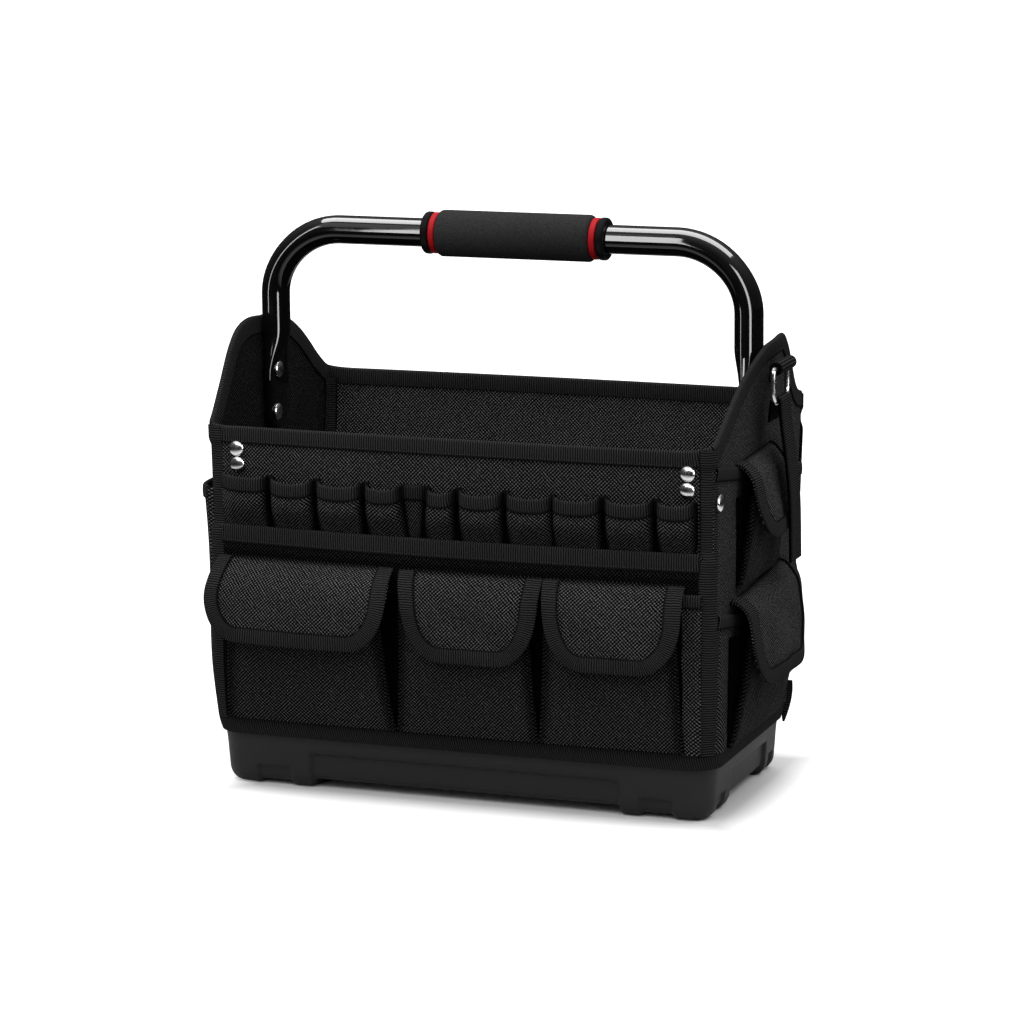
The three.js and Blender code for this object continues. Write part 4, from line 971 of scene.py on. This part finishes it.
def loop_line(seams):
    """Plan of a row of loops: run, bulge from 0 at each seam to 1 along most of the loop, dip of the top
    edge, and painted light, which falls off into painted shade over the last millimetres before a seam.
    """
    x = np.linspace(-1, 1, 29)
    loops = []
    for start, end in zip(seams[:-1], seams[1:]):
        first = start + (LOOP_SEAM_HALF if start > seams[0] else LOOP_END)
        last = end - (LOOP_SEAM_HALF if end < seams[-1] else LOOP_END)
        run = mix(first, last, (x + np.sin(math.pi * x) * 0.14 + 1) / 2)
        bulge = np.maximum(0, 1 - np.abs(x) ** 2.8) ** 0.6
        dip = 1 - x * x
        shade = ease((1 - np.abs(x)) * (end - start) / (2 * LOOP_SHADE))
        if start == FLAT_SPAN_FROM:
            bulge, dip, shade = 0.06 * bulge, 0 * dip, 0.7 * shade
        elif start == FIRST_SEAM:
            bulge = np.sqrt(np.maximum(0, 1 - np.maximum(0, x) ** 3.2)) * mix(0.3, 1, ramp(x, -1, 0))
            dip = 0.25 * dip
            shade = np.where(x < 0, 1.0, shade)
        loops.append((run, bulge, dip, shade))
    return [np.concatenate(part)[None, :] for part in zip(*loops)]


def loop_place(run, bulge, dip, z, off):
    """Point of a loop strip: it bulges less at its foot, its top edge dips in the middle of each loop,
    and the seams beside the flat span lean together towards the foot.
    """
    rise = ramp(z, LOOP_FOOT, LOOP_TOP)
    share = ramp(z, LOOP_FOOT + 6, LOOP_FOOT + 28)
    lean = np.interp(run, LEANING_RUN, LEANING_BY) * (1 - rise)
    out = 0.4 + LOOP_BULGE * bulge * share + off
    return place_flat(FRONT, run + lean, z - LOOP_DIP * dip * rise, out)


def add_tool_loops():
    for name, seams in LOOP_SEAMS.items():
        run, bulge, dip, shade = loop_line(np.array(seams, float))
        z = np.linspace(LOOP_FOOT, LOOP_TOP, 21)[:, None]
        points = loop_place(run, bulge, dip, z, 0.0)
        uv = np.stack(np.broadcast_arrays(lengths(points[-1])[None, :], z), axis=-1)
        # Painted shade: dark in the valleys at the seams and darker towards the loops' foot.
        open_ = mix(0.02, 0.95, shade) * mix(0.6, 1.0, ramp(z, LOOP_FOOT + 4, LOOP_FOOT + 24))
        sheet = shell(points, LOOP_CLOTH, uv, open_=open_)
        cut_cloth(f"tool_loops_{name}", sheet, f"loop_strip_{name}")
        inward, off = fold_profile(LOOP_TAPE, LOOP_CLOTH, 0)
        points = loop_place(run, bulge, dip, LOOP_TOP - inward[:, None], off[:, None])
        # Painted shade on the tape over the seams.
        tape = band(points)._replace(open=np.broadcast_to(mix(0.2, 0.9, shade), points.shape[:2]))
        tape_piece(f"tool_loops_tape_{name}", [tape])


# Flap pockets

def pressed(row, run):
    """Share of a stand-out that is left at a run, where the strap presses on it."""
    return 1 - row.press * ramp(run, *PRESS_RUN)


def pocket_sheet(row):
    """Pocket open at the top: two pleated gussets and a face, standing out at the mouth and flat at the
    foot.

    At each height the plan folds inwards and out again to a rounded edge, then crosses a face with a low
    crown.
    """
    rise = np.linspace(0, 1, 45)[:, None]
    z = mix(row.foot, row.mouth, rise)
    out = mix(1.2, row.stand, rise ** 0.7)
    rounding = np.minimum(2.5, out * 0.4)
    pleat = np.minimum(16.0, 1.1 * (out - 1.2))
    gusset = np.linspace(0, 1, 15)[None, :-1]
    angle = np.linspace(0, math.pi / 2, 8)[None, :]
    face = np.linspace(1, 0, 22)[None, 1:]
    halves = []
    for hand, inset in zip((-1, 1), row.insets):
        edge = row.width / 2 - inset * rise ** 0.6
        fold = mix(row.width / 2, edge, gusset) - pleat * np.sin(math.pi * gusset) ** 0.7
        turn = edge - rounding * (1 - np.cos(angle))
        halves.append(hand * np.concatenate([fold, turn, (edge - rounding) * face], axis=1))
    crown = 1.8 * rise * (1 - face ** 2)
    turn = out - rounding * (1 - np.sin(angle))
    stand = np.concatenate([mix(0, out - rounding, gusset), turn, out + crown], axis=1)
    # Painted shade: the gussets and the turns to the face are painted dark, and the face darker towards its
    # edges and never fully lit, as under the flap.
    face_painted_light = mix(0.25, 0.78, ease((1 - face) * 7))
    fold_painted_light = np.concatenate([0.02 + 0 * gusset, mix(0.03, 0.25, ease(angle)), face_painted_light], axis=1)
    fold_painted_light = np.broadcast_to(fold_painted_light, stand.shape)
    run = np.concatenate([halves[0], halves[1][:, -2::-1]], axis=1)
    stand, fold_painted_light = (np.concatenate([part, part[:, -2::-1]], axis=1) for part in (stand, fold_painted_light))
    wave = ripple(run + row.mid, z, 0.8, 60) * np.sin(math.pi * rise) * ease(stand / 12)
    off = row.seat + (stand + wave) * pressed(row, row.mid + run)
    return shell(place_flat(row.side, row.mid + run, z, off), POCKET_CLOTH, open_=fold_painted_light)


class FlapSurface:
    """Flap out from its seam, over the mouth and down in front, as a curve carried across its width."""

    def __init__(self, row):
        out, down = (LONG_FLAP_OUT, LONG_FLAP_DOWN) if row.side.long else (END_FLAP_OUT, END_FLAP_DOWN)
        knots = np.arange(len(out), dtype=float)
        t = np.linspace(0, knots[-1], 121)
        curve = np.stack([smooth(t, knots, out) * row.flap_stand, -smooth(t, knots, down) * row.drop], -1)
        way = unit(np.gradient(curve, axis=0))
        self.row = row
        self.curve = curve
        self.normal = np.stack([-way[:, 1], way[:, 0]], axis=-1)
        self.travel = lengths(curve)
        self.length = self.travel[-1]
        self.half = row.flap_width / 2
        self.corner = np.array([min(30.0, self.half * 0.62), min(40.0, self.half * 0.9)])
        self.tape = min(FLAP_TAPE, self.half * 0.42)

    def point(self, across, along, off):
        """Place at a distance across, a distance down the cloth and a height off it."""
        row = self.row
        out, down = (np.interp(along, self.travel, self.curve[:, i])
                     + off * np.interp(along, self.travel, self.normal[:, i]) for i in (0, 1))
        share = np.abs(across) / self.half
        sag = 1 - 0.12 * share ** 3
        wave = ripple(across * 1.3 + row.mid, along, 0.9, 85) * ease(along / 25) * (1 - 0.5 * share)
        near_seam = 1 - ease(along / 45)
        run = row.flap_mid + across * (1 + near_seam * row.spread / self.half) + row.shift * near_seam
        seam = row.seam + row.tilt * near_seam * (across - self.half)
        stand = row.flap_seat + (out * sag + wave) * pressed(row, run)
        return place_flat(row.side, run, seam + down, stand)

    def reach(self, across):
        """Length of cloth at a distance across: whole, then less round the elliptical corner."""
        wide, tall = self.corner
        past = np.clip((np.abs(across) - (self.half - wide)) / wide, 0, 1)
        return self.length - tall + tall * np.sqrt(1 - past ** 2)

    def cloth(self):
        x = np.sin(np.linspace(-math.pi / 2, math.pi / 2, 61)) * self.half
        across, share = np.meshgrid(x, np.linspace(0, 1, 49))
        along = share * self.reach(across)
        # Painted shade over the flap's first millimetres below the seam, where it turns down in the apron's
        # shade.
        painted_seam_shade = mix(0.15, 1.0, ease(along / 6))
        uv = np.stack([across, -along], axis=-1)
        return shell(self.point(across, along, 0.0), POCKET_CLOTH, uv, open_=painted_seam_shade)

    def binding(self):
        """Tape folded over the two sides and the rounded foot."""
        wide, tall = self.corner
        straight = np.linspace(2.0, self.length - tall, 36)[:-1]
        angle = np.linspace(0, math.pi / 2, 30)
        foot = np.linspace(self.half - wide, 0, 30)[1:]
        x = np.concatenate([0 * straight + self.half, self.half - wide + wide * np.cos(angle), foot])
        y = np.concatenate([straight, self.length - tall + tall * np.sin(angle), 0 * foot + self.length])
        lean = unit(np.stack([-np.cos(angle) / wide, -np.sin(angle) / tall], axis=-1))
        nx = np.concatenate([0 * straight - 1, lean[:, 0], 0 * foot])
        ny = np.concatenate([0 * straight, lean[:, 1], 0 * foot - 1])
        x, nx = (np.concatenate([part, -part[-2::-1]]) for part in (x, nx))
        y, ny = (np.concatenate([part, part[-2::-1]]) for part in (y, ny))
        inward, off = fold_profile(self.tape, POCKET_CLOTH, 0)
        across = np.clip(x[None, ::-1] + nx[None, ::-1] * inward[:, None], -self.half - 3, self.half + 3)
        along = np.maximum(y[None, ::-1] + ny[None, ::-1] * inward[:, None], 0.5)
        points = self.point(across, np.minimum(along, self.length - 0.01), off[:, None])
        points[..., 2] -= np.maximum(along - self.length + 0.01, 0)
        return shell(points, TAPE, np.stack(np.meshgrid(travelled(x, y), travelled(inward, off)), axis=-1))


def add_pockets():
    for row in POCKETS:
        pocket, flap, binding = (row.name.format(part) for part in ("pocket", "flap", "flap_binding"))
        surface = FlapSurface(row)
        cut_cloth(f"{pocket}_cloth", pocket_sheet(row), pocket)
        cut_cloth(f"{flap}_cloth", surface.cloth(), flap)
        tape = surface.binding()
        sew(tape, 1)
        tape_piece(f"{binding}_tape", [tape], [binding])


# Moulded tray

def tray_columns():
    """Places round the tray: number of the side, place along it, and turn of the corner, closer together
    at the edges of the feet and notches.
    """
    columns = []
    for number, kind in enumerate((0, 1, 0, 1)):
        reach = (TRAY_HALF_X, TRAY_HALF_Y)[kind] - TRAY_CORNER
        marks = [np.linspace(0, reach, 12)]
        marks += [edge[kind] + np.linspace(-2.4, 2.4, 9) for edge in (PANEL_TO, NOTCH_FROM, NOTCH_TO)]
        half = np.unique(np.round(np.concatenate(marks), 3))
        half = half[half <= reach]
        columns += [(number, along, 0.0) for along in np.concatenate([-half[:0:-1], half])]
        columns += [(number, reach, turn) for turn in np.linspace(0, math.pi / 2, 14)[1:-1]]
    return np.array(columns)


def tray_ring(columns, inset, z):
    """Points of one ring: a rounded rectangle drawn in by an inset at each column."""
    number = columns[:, 0].astype(int)
    long_side = number % 2 == 0
    reach = np.where(long_side, TRAY_HALF_X, TRAY_HALF_Y)
    out = np.where(long_side, TRAY_HALF_Y, TRAY_HALF_X)
    corner = np.maximum(TRAY_CORNER - inset, 0.0)
    squeeze = (reach - inset - corner) / (reach - TRAY_CORNER)
    along = columns[:, 1] * squeeze + corner * np.sin(columns[:, 2])
    depth = out - inset - corner + corner * np.cos(columns[:, 2])
    cos, sin = np.cos(number * math.pi / 2), np.sin(number * math.pi / 2)
    return np.stack([along * cos + depth * sin, along * sin - depth * cos, z], axis=-1)


def tray_section(wall, start, across, bottom):
    """Tray's section: its inside, its outer wall, an elliptical turn from a place in to the bottom, and
    the belly.
    """
    angle = np.linspace(0, math.pi / 2, 10)[1:]
    turn = np.stack([start + across * (1 - np.cos(angle)),
                     TRAY_TURN_FROM - (TRAY_TURN_FROM - bottom) * np.sin(angle)], axis=-1)
    under = [(30, bottom), (50, bottom), (54, BELLY_Z), (75, BELLY_Z), (TRAY_HALF_Y, BELLY_Z)]
    return np.array(TRAY_INSIDE + list(zip(wall, TRAY_WALL_Z)) + [(start, TRAY_TURN_FROM), *turn] + under)


def add_tray():
    """Tray as one closed surface: from the middle of its floor up the inner wall, over the rim, down the
    outer wall and in under the belly. Each column mixes three sections: a foot, a notch in it, and the
    panel between.
    """
    columns = tray_columns()
    foot = tray_section(AT_FOOT, 2.4, 10.0, 0.0)
    panel = tray_section(AT_PANEL, 5.2, 4.0, BELLY_Z)
    notch = tray_section(AT_NOTCH, 4.8, 7.0, 3.0)
    reach = np.abs(columns[:, 1])
    kind = columns[:, 0].astype(int) % 2

    def past(edge):
        return ease((reach - np.array(edge)[kind]) / TRAY_EDGE_SOFT + 0.5)

    is_panel = 1 - past(PANEL_TO)
    is_notch = np.where(columns[:, 2] > 0, 0, past(NOTCH_FROM) * (1 - past(NOTCH_TO)))
    is_foot = 1 - is_panel - is_notch
    rings = []
    for rows in zip(foot, panel, notch):
        inset, z = (is_foot * rows[0][i] + is_panel * rows[1][i] + is_notch * rows[2][i] for i in (0, 1))
        rings.append(tray_ring(columns, inset, z))
    rings = np.array(rings)
    count, around = rings.shape[:2]
    grid = np.arange(count * around).reshape(count, around)
    grid = np.concatenate([grid, grid[:, :1]], axis=1)
    tray = mesh_object("tray", rings.reshape(-1, 3), quads_of(grid)[:, ::-1], sharp=55)
    merge_points(tray)
    finish_piece(tray, TRAY_PLASTIC, ["base_tray"])


def merge_points(thing):
    """Joins points that lie together, such as the two sides of a ring drawn in to a line, and turns faces
    out.
    """
    shape = bmesh.new()
    shape.from_mesh(thing.data)
    bmesh.ops.remove_doubles(shape, verts=shape.verts, dist=2e-5)
    bmesh.ops.dissolve_degenerate(shape, edges=shape.edges, dist=1e-6)
    bmesh.ops.recalc_face_normals(shape, faces=shape.faces)
    shape.to_mesh(thing.data)
    shape.free()


# Handle

def add_handle():
    """Tube as sections carried along its path: flat feet, a swelling to round, two bends and the bar."""
    # Each station: x, z, tilt of the section, half width and half thickness
    turn = np.linspace(0.25, math.pi / 2, 9)
    foot = [(TUBE_FOOT + FOOT_ROUND * (1 - math.cos(a)), math.sin(a)) for a in turn]
    stations = [(FLAT_X, z, 0.0, FLAT_WIDE * wide, FLAT_THICK) for z, wide in foot]
    stations += [(FLAT_X, z, 0.0, FLAT_WIDE, FLAT_THICK) for z in np.linspace(270, FLAT_TO - 4, 6)]
    for share in np.linspace(0, 1, 15):
        swell = ease(share)
        stations.append((mix(FLAT_X, TUBE_X, swell), mix(FLAT_TO, ROUND_FROM, share), 0.0,
                         mix(FLAT_WIDE, TUBE_R, ease(share * 1.15)), mix(FLAT_THICK, TUBE_R, swell)))
    for tilt in np.linspace(0, math.pi / 2, 25):
        x = TUBE_X - BEND_R + BEND_R * math.cos(tilt)
        z = TUBE_Z - BEND_R + BEND_R * math.sin(tilt)
        stations.append((x, z, tilt, TUBE_R, TUBE_R))
    x, z, tilt, wide, thick = np.array(stations).T
    x = np.concatenate([x, -x[::-1]])
    z, wide, thick = (np.concatenate([part, part[::-1]]) for part in (z, wide, thick))
    tilt = np.concatenate([tilt, math.pi - tilt[::-1]])
    angle = np.linspace(0, 2 * math.pi, 49)[None, :-1]
    # A flat foot has a boxier section than the round tube
    power = mix(FLAT_SQUARENESS, 1.0, ((thick - FLAT_THICK) / (TUBE_R - FLAT_THICK))[:, None])
    outward = thick[:, None] * np.sign(np.cos(angle)) * np.abs(np.cos(angle)) ** power
    across = wide[:, None] * np.sign(np.sin(angle)) * np.abs(np.sin(angle)) ** power
    rings = np.stack([x[:, None] + outward * np.cos(tilt)[:, None], across,
                      z[:, None] + outward * np.sin(tilt)[:, None]], axis=-1)
    loft_object("handle", rings, GLOSS_PAINT, ["handle_tube"], sharp=60)


def sleeve(name, at, length, radius, easing, material, node):
    """Sleeve on the bar: a bore and an outer face whose two edges are quarter circles, turned about the
    bar.
    """
    turn = np.linspace(0, math.pi / 2, 7)
    right = [(radius - easing + easing * math.cos(a), length / 2 - easing + easing * math.sin(a))
             for a in turn]
    left = [(r, -along) for r, along in right[::-1]]
    bore = TUBE_R + BORE_GAP
    profile = np.array([(bore, -length / 2 + 0.2), *left, *right, (bore, length / 2 - 0.2)])
    angle = np.linspace(0, 2 * math.pi, 65)[:-1, None]
    r, along = profile[None, :, 0], profile[None, :, 1]
    ring = np.stack([along + 0 * angle, r * np.cos(angle), r * np.sin(angle)], axis=-1)
    middle = np.array([GRIP_MID, 0, TUBE_Z]) + (at, 0, 0)
    return loft_object(name, ring + middle, material, [node], closed=True)


def add_grip():
    grip = sleeve("grip_sleeve", 0, 2 * GRIP_HALF, GRIP_R, GRIP_EASING, GRIP_FOAM, "grip")
    for hand, label in ((-1, "left"), (1, "right")):
        band_at = hand * (GRIP_HALF + SLEEVE_GAP + RED_LENGTH / 2)
        collar_at = hand * (GRIP_HALF + 2 * SLEEVE_GAP + RED_LENGTH + COLLAR_LENGTH / 2)
        sleeve(f"red_band_{label}", band_at, RED_LENGTH, RED_R, RED_EASING, RED_PLASTIC,
               f"red_ring_{label}")
        sleeve(f"end_collar_{label}", collar_at, COLLAR_LENGTH, COLLAR_R, COLLAR_EASING, BLACK_PLASTIC,
               f"collar_{label}")


def rivet(name, middle, outward, node, radius=RIVET_R):
    """Domed rivet: a low dome with a rolled rim and a flat back, turned about its axis."""
    turn = np.linspace(0.06, math.pi / 2, 12)
    dome = [(radius * math.sin(a), RIVET_RIM + (RIVET_H - RIVET_RIM) * math.cos(a)) for a in turn]
    back = [(radius - 0.1, 0.2), (radius - 0.5, -0.4), (2.4, -0.5), (0.05, -0.5)]
    profile = np.array([(0.05, RIVET_H), *dome, *back])
    angle = np.linspace(0, 2 * math.pi, 49)[:-1, None, None]
    outward = np.array(outward, float)
    side = np.cross(outward, (0, 0, 1))
    up = np.cross(side, outward)
    spoke = np.cos(angle) * side + np.sin(angle) * up
    ring = middle + profile[None, :, :1] * spoke + profile[None, :, 1:] * outward
    loft_object(name, ring, NICKEL, [node], closed=True, sharp=60)


def add_rivets():
    for hand, label in ((-1, "left"), (1, "right")):
        for number, (x, z) in enumerate(FRONT_RIVETS[label], 1):
            at = place(FRONT, x, z, FRONT_RIVET_OFF)
            rivet(f"front_stud_{label}_{number}", at, (0, -1, 0), f"front_rivet_{label}_{number}")
        for number, (y, z) in enumerate(HANDLE_RIVETS, 1):
            at = np.array([hand * (FLAT_X - FLAT_THICK), y, z])
            rivet(f"handle_stud_{label}_{number}", at, (-hand, 0, 0), f"handle_rivet_{label}_{number}",
                  HANDLE_RIVET_R)
    at = place(RIGHT, SIDE_RIVET_Y, SIDE_RIVET_Z, SIDE_RIVET_OFF)
    rivet("side_stud", at, (1, 0, 0), "side_rivet", HANDLE_RIVET_R)


# Ring and strap

def webbing_band(line, middle, half):
    """Webbing that follows points (x, z) seen from the front: the line, smoothed, carried across its
    width.
    """
    line = np.array(line, float)
    t = np.linspace(0, len(line) - 1, 8 * len(line))
    knots = np.arange(len(line), dtype=float)
    x, z = (smooth(t, knots, line[:, i]) for i in (0, 1))
    y = middle + np.linspace(-half, half, 9)[:, None]
    return band(np.stack(np.broadcast_arrays(x[None, :], y, z[None, :]), axis=-1), WEBBING)


def arc(x, z, radius, start, end, count):
    """Points (x, z) round an arc between two angles in degrees."""
    angles = np.radians(np.linspace(start, end, count))
    return [(x + radius * math.cos(a), z + radius * math.sin(a)) for a in angles]


def end_face(z):
    """Outer face of the right end beside the ring."""
    return float(max(place(RIGHT, RING_Y + run, z, 0.0)[..., 0] for run in (-STRAP_HALF, 0, STRAP_HALF)))


def add_ring_tab():
    """Tab: a roll of webbing round the ring's bar, and one narrow leg of it that turns in to the end's
    face.
    """
    seat = end_face(RING_BAR_Z - 12) + 0.6
    roll = arc(RING_X, RING_BAR_Z, TAB_ROLL_R, 205, -140, 14)
    leg = [(RING_X - TAB_ROLL_R - 0.5, RING_BAR_Z - 1), (seat + 2, RING_BAR_Z - 4), (seat, RING_BAR_Z - 9),
           (seat, RING_BAR_Z - 15)]
    tab = [webbing_band(roll, TAB_Y, TAB_HALF),
           webbing_band(leg, TAB_Y + TAB_HALF - TAB_LEG_HALF, TAB_LEG_HALF)]
    cloth_piece("ring_loop", tab, STRAP_CLOTH, ["ring_tab"])


def add_strap():
    """Strap: up behind the ring's foot, over it and down in front, out over the flaps; its near edge has
    painted shade.
    """
    foot = RING_BAR_Z - RING_DROP
    behind, before = RING_X - STRAP_CLEAR, RING_X + STRAP_CLEAR
    line = [(behind - 1.5, foot - 15), (behind - 1, foot - 8), *arc(RING_X, foot, STRAP_CLEAR, 180, 0, 7),
            (before + 1, foot - 14), (before + 4.5, foot - 40), (before + 8, foot - 75),
            (before + 9, STRAP_FOOT)]
    sheet = webbing_band(line, RING_Y, STRAP_HALF)
    rows, columns = sheet.points.shape[:2]
    # Painted shade along the near edge, where the strap stands off the wall.
    shade = mix(0.1, 1.0, ease(np.arange(rows) / 2.0))[:, None]
    sheet = sheet._replace(open=np.broadcast_to(shade, (rows, columns)))
    cut_cloth("ring_strap", sheet, "hanging_strap", STRAP_CLOTH)


def add_ring():
    """Ring: a round wire carried along a rectangle with tight corners above and wide ones below."""
    corner = np.linspace(0, math.pi / 2, 8)
    tight = RING_TOP_CORNER
    top_right = np.stack([RING_HALF - tight + tight * np.sin(corner), -tight + tight * np.cos(corner)],
                         axis=-1)
    inner, low = RING_HALF - RING_CORNER, RING_CORNER - RING_DROP
    bottom_right = np.stack([inner + RING_CORNER * np.cos(corner), low - RING_CORNER * np.sin(corner)],
                            axis=-1)
    right = np.concatenate([top_right, bottom_right])
    route = np.concatenate([right, right[::-1] * (-1, 1)])
    way = unit(np.roll(route, -1, axis=0) - np.roll(route, 1, axis=0))
    angle = np.linspace(0, 2 * math.pi, 17)[None, :-1]
    aside = WIRE_R * np.cos(angle)
    x = RING_X + WIRE_R * np.sin(angle) + 0 * way[:, :1]
    y = RING_Y + route[:, :1] - way[:, 1:] * aside
    z = RING_BAR_Z + route[:, 1:] + way[:, :1] * aside
    loft_object("ring_wire", np.stack([x, y, z], axis=-1), NICKEL, ["d_ring"], closed=True)


# Stage, light and camera

def add_floor():
    mesh = bpy.data.meshes.new("floor")
    corners = [(x * FLOOR_REACH, y * FLOOR_REACH, 0) for x, y in ((-1, -1), (1, -1), (1, 1), (-1, 1))]
    mesh.from_pydata(corners, [], [(0, 1, 2, 3)])
    floor = bpy.data.objects.new("floor", mesh)
    bpy.context.scene.collection.objects.link(floor)
    material, tree, shader = new_material("pale floor", 0.9, Specular_IOR_Level=0.1)
    # White to the eye, little light sent back up, and dark to reflections beyond the table's edge
    path = values_from(tree, "ShaderNodeLightPath")
    where = values_from(tree, "ShaderNodeTexCoord")["Object"]
    distance = tree.nodes.new("ShaderNodeVectorMath")
    distance.operation = "LENGTH"
    where.to(distance.inputs[0])
    far = (Value(tree, distance.outputs["Value"]) * 1.1).by("MINIMUM", 1.0)
    dim = path["Is Diffuse Ray"] * 0.8 + path["Is Glossy Ray"] * far ** 3.0
    colour_between(shader, dim, (0.88, 0.88, 0.88), (0.01, 0.01, 0.01))
    # The glow to the eye stops short of the tray, so that its contact shadow stays dark
    shader.inputs["Emission Color"].default_value = (1, 1, 1, 1)
    x, y = (axis.by("ABSOLUTE") for axis in axes_of(where)[:2])
    past = (x - SHADOW_HALF_X).by("MAXIMUM", y - SHADOW_HALF_Y) * GLOW_SLOPE
    clear = past.by("MAXIMUM", 0.0).by("MINIMUM", 1.0)
    (path["Is Camera Ray"] * clear * GLOW).to(shader.inputs["Emission Strength"])
    mesh.materials.append(material)


def add_world():
    """Dome of soft light, brighter overhead: white to the eye and dimmer in reflections."""
    world = bpy.data.worlds.new("studio")
    world.use_nodes = True
    tree = world.node_tree
    sky = tree.nodes["Background"]
    path = values_from(tree, "ShaderNodeLightPath")
    up = axes_of(values_from(tree, "ShaderNodeTexCoord")["Generated"])[2].by("MAXIMUM", 0.0)
    dome = up * up * 2.2 + 0.14
    gloss = up ** 3.0 * 0.9 + 0.06
    glossy = path["Is Glossy Ray"]
    shaded = dome * (glossy * -1.0 + 1.0) + glossy * gloss
    shaded.by("MAXIMUM", path["Is Camera Ray"]).to(sky.inputs["Strength"])
    sky.inputs["Color"].default_value = (1, 1, 1, 1)
    bpy.context.scene.world = world
    bpy.context.scene.view_settings.view_transform = "Standard"


def aim(thing, target, roll=0.0):
    """Turns a light or camera so that its -Z axis points at a target and its Y axis is up, but for a
    roll.
    """
    turn = (Vector(target) - thing.location).to_track_quat("-Z", "Y")
    thing.rotation_euler = (turn @ Quaternion((0, 0, 1), math.radians(roll))).to_euler()


def softbox(name, at, target, size, radiance, only=None):
    """Rectangular light of an even brightness, on everything or only on the reflections of one
    collection.
    """
    lamp = bpy.data.lights.new(name, "AREA")
    lamp.shape = "RECTANGLE"
    lamp.size, lamp.size_y = size
    lamp.energy = radiance * math.pi * size[0] * size[1]
    thing = bpy.data.objects.new(name, lamp)
    bpy.context.scene.collection.objects.link(thing)
    thing.location = at
    aim(thing, target)
    thing.visible_camera = False
    if only:
        thing.visible_diffuse = False
        thing.light_linking.receiver_collection = only


def add_lights():
    softbox("key light", (-1.3, -1.6, 2.0), (0, 0, 0.2), (1.2, 1.2), 1.0)
    gloss = bpy.data.collections.new("gloss")
    studs = bpy.data.collections.new("studs")
    gloss.objects.link(bpy.data.objects["handle"])
    for thing in bpy.data.objects:
        if "_stud" in thing.name or thing.name == "ring_wire":
            studs.objects.link(thing)
    softbox("stud panel", (0.2, -2.6, 1.9), (0, 0, 0.25), (3.0, 1.6), 3.2, studs)
    softbox("stud side panel", (2.4, -1.0, 1.0), (0, 0, 0.25), (1.8, 1.8), 6.0, studs)
    softbox("top panel", (0, 0.1, 2.0), (0, 0.1, 0), (2.6, 1.2), 13, gloss)
    softbox("front strip", (-0.82, -2.36, 1.13), (0, 0, 0.42), (0.55, 1.9), 14, gloss)
    softbox("left strip", (-1.16, -1.06, 0.7), (0, 0, 0.7), (0.12, 1.5), 12, gloss)
    softbox("right strip", (0.9, -1.33, 0.6), (0.1, 0, 0.6), (0.4, 1.3), 12, gloss)


def add_camera():
    data = bpy.data.cameras.new("view")
    data.sensor_width = SENSOR
    data.lens = FOCAL_PIXELS * SENSOR / PICTURE
    data.shift_x = (PICTURE / 2 - CENTRE_PIXEL[0]) / PICTURE
    data.shift_y = (CENTRE_PIXEL[1] - PICTURE / 2) / PICTURE
    data.clip_end = 100
    camera = bpy.data.objects.new("view", data)
    bpy.context.scene.collection.objects.link(camera)
    azimuth, elevation = math.radians(VIEW_AZIMUTH), math.radians(VIEW_ELEVATION)
    level = math.cos(elevation)
    away = np.array([math.sin(azimuth) * level, -math.cos(azimuth) * level, math.sin(elevation)])
    target = VIEW_AIM * MM + MIDDLE
    camera.location = target + away * VIEW_DISTANCE * MM
    aim(camera, target, VIEW_ROLL)
    bpy.context.scene.camera = camera


add_camera()
add_floor()
add_world()
add_walls()
add_wall_tapes()
add_inner_tapes()
add_tape_tail()
add_layers()
add_tool_loops()
add_pockets()
add_tray()
add_handle()
add_grip()
add_rivets()
add_ring_tab()
add_strap()
add_ring()
add_thread()
add_lights()

bpy.context.view_layer.update()
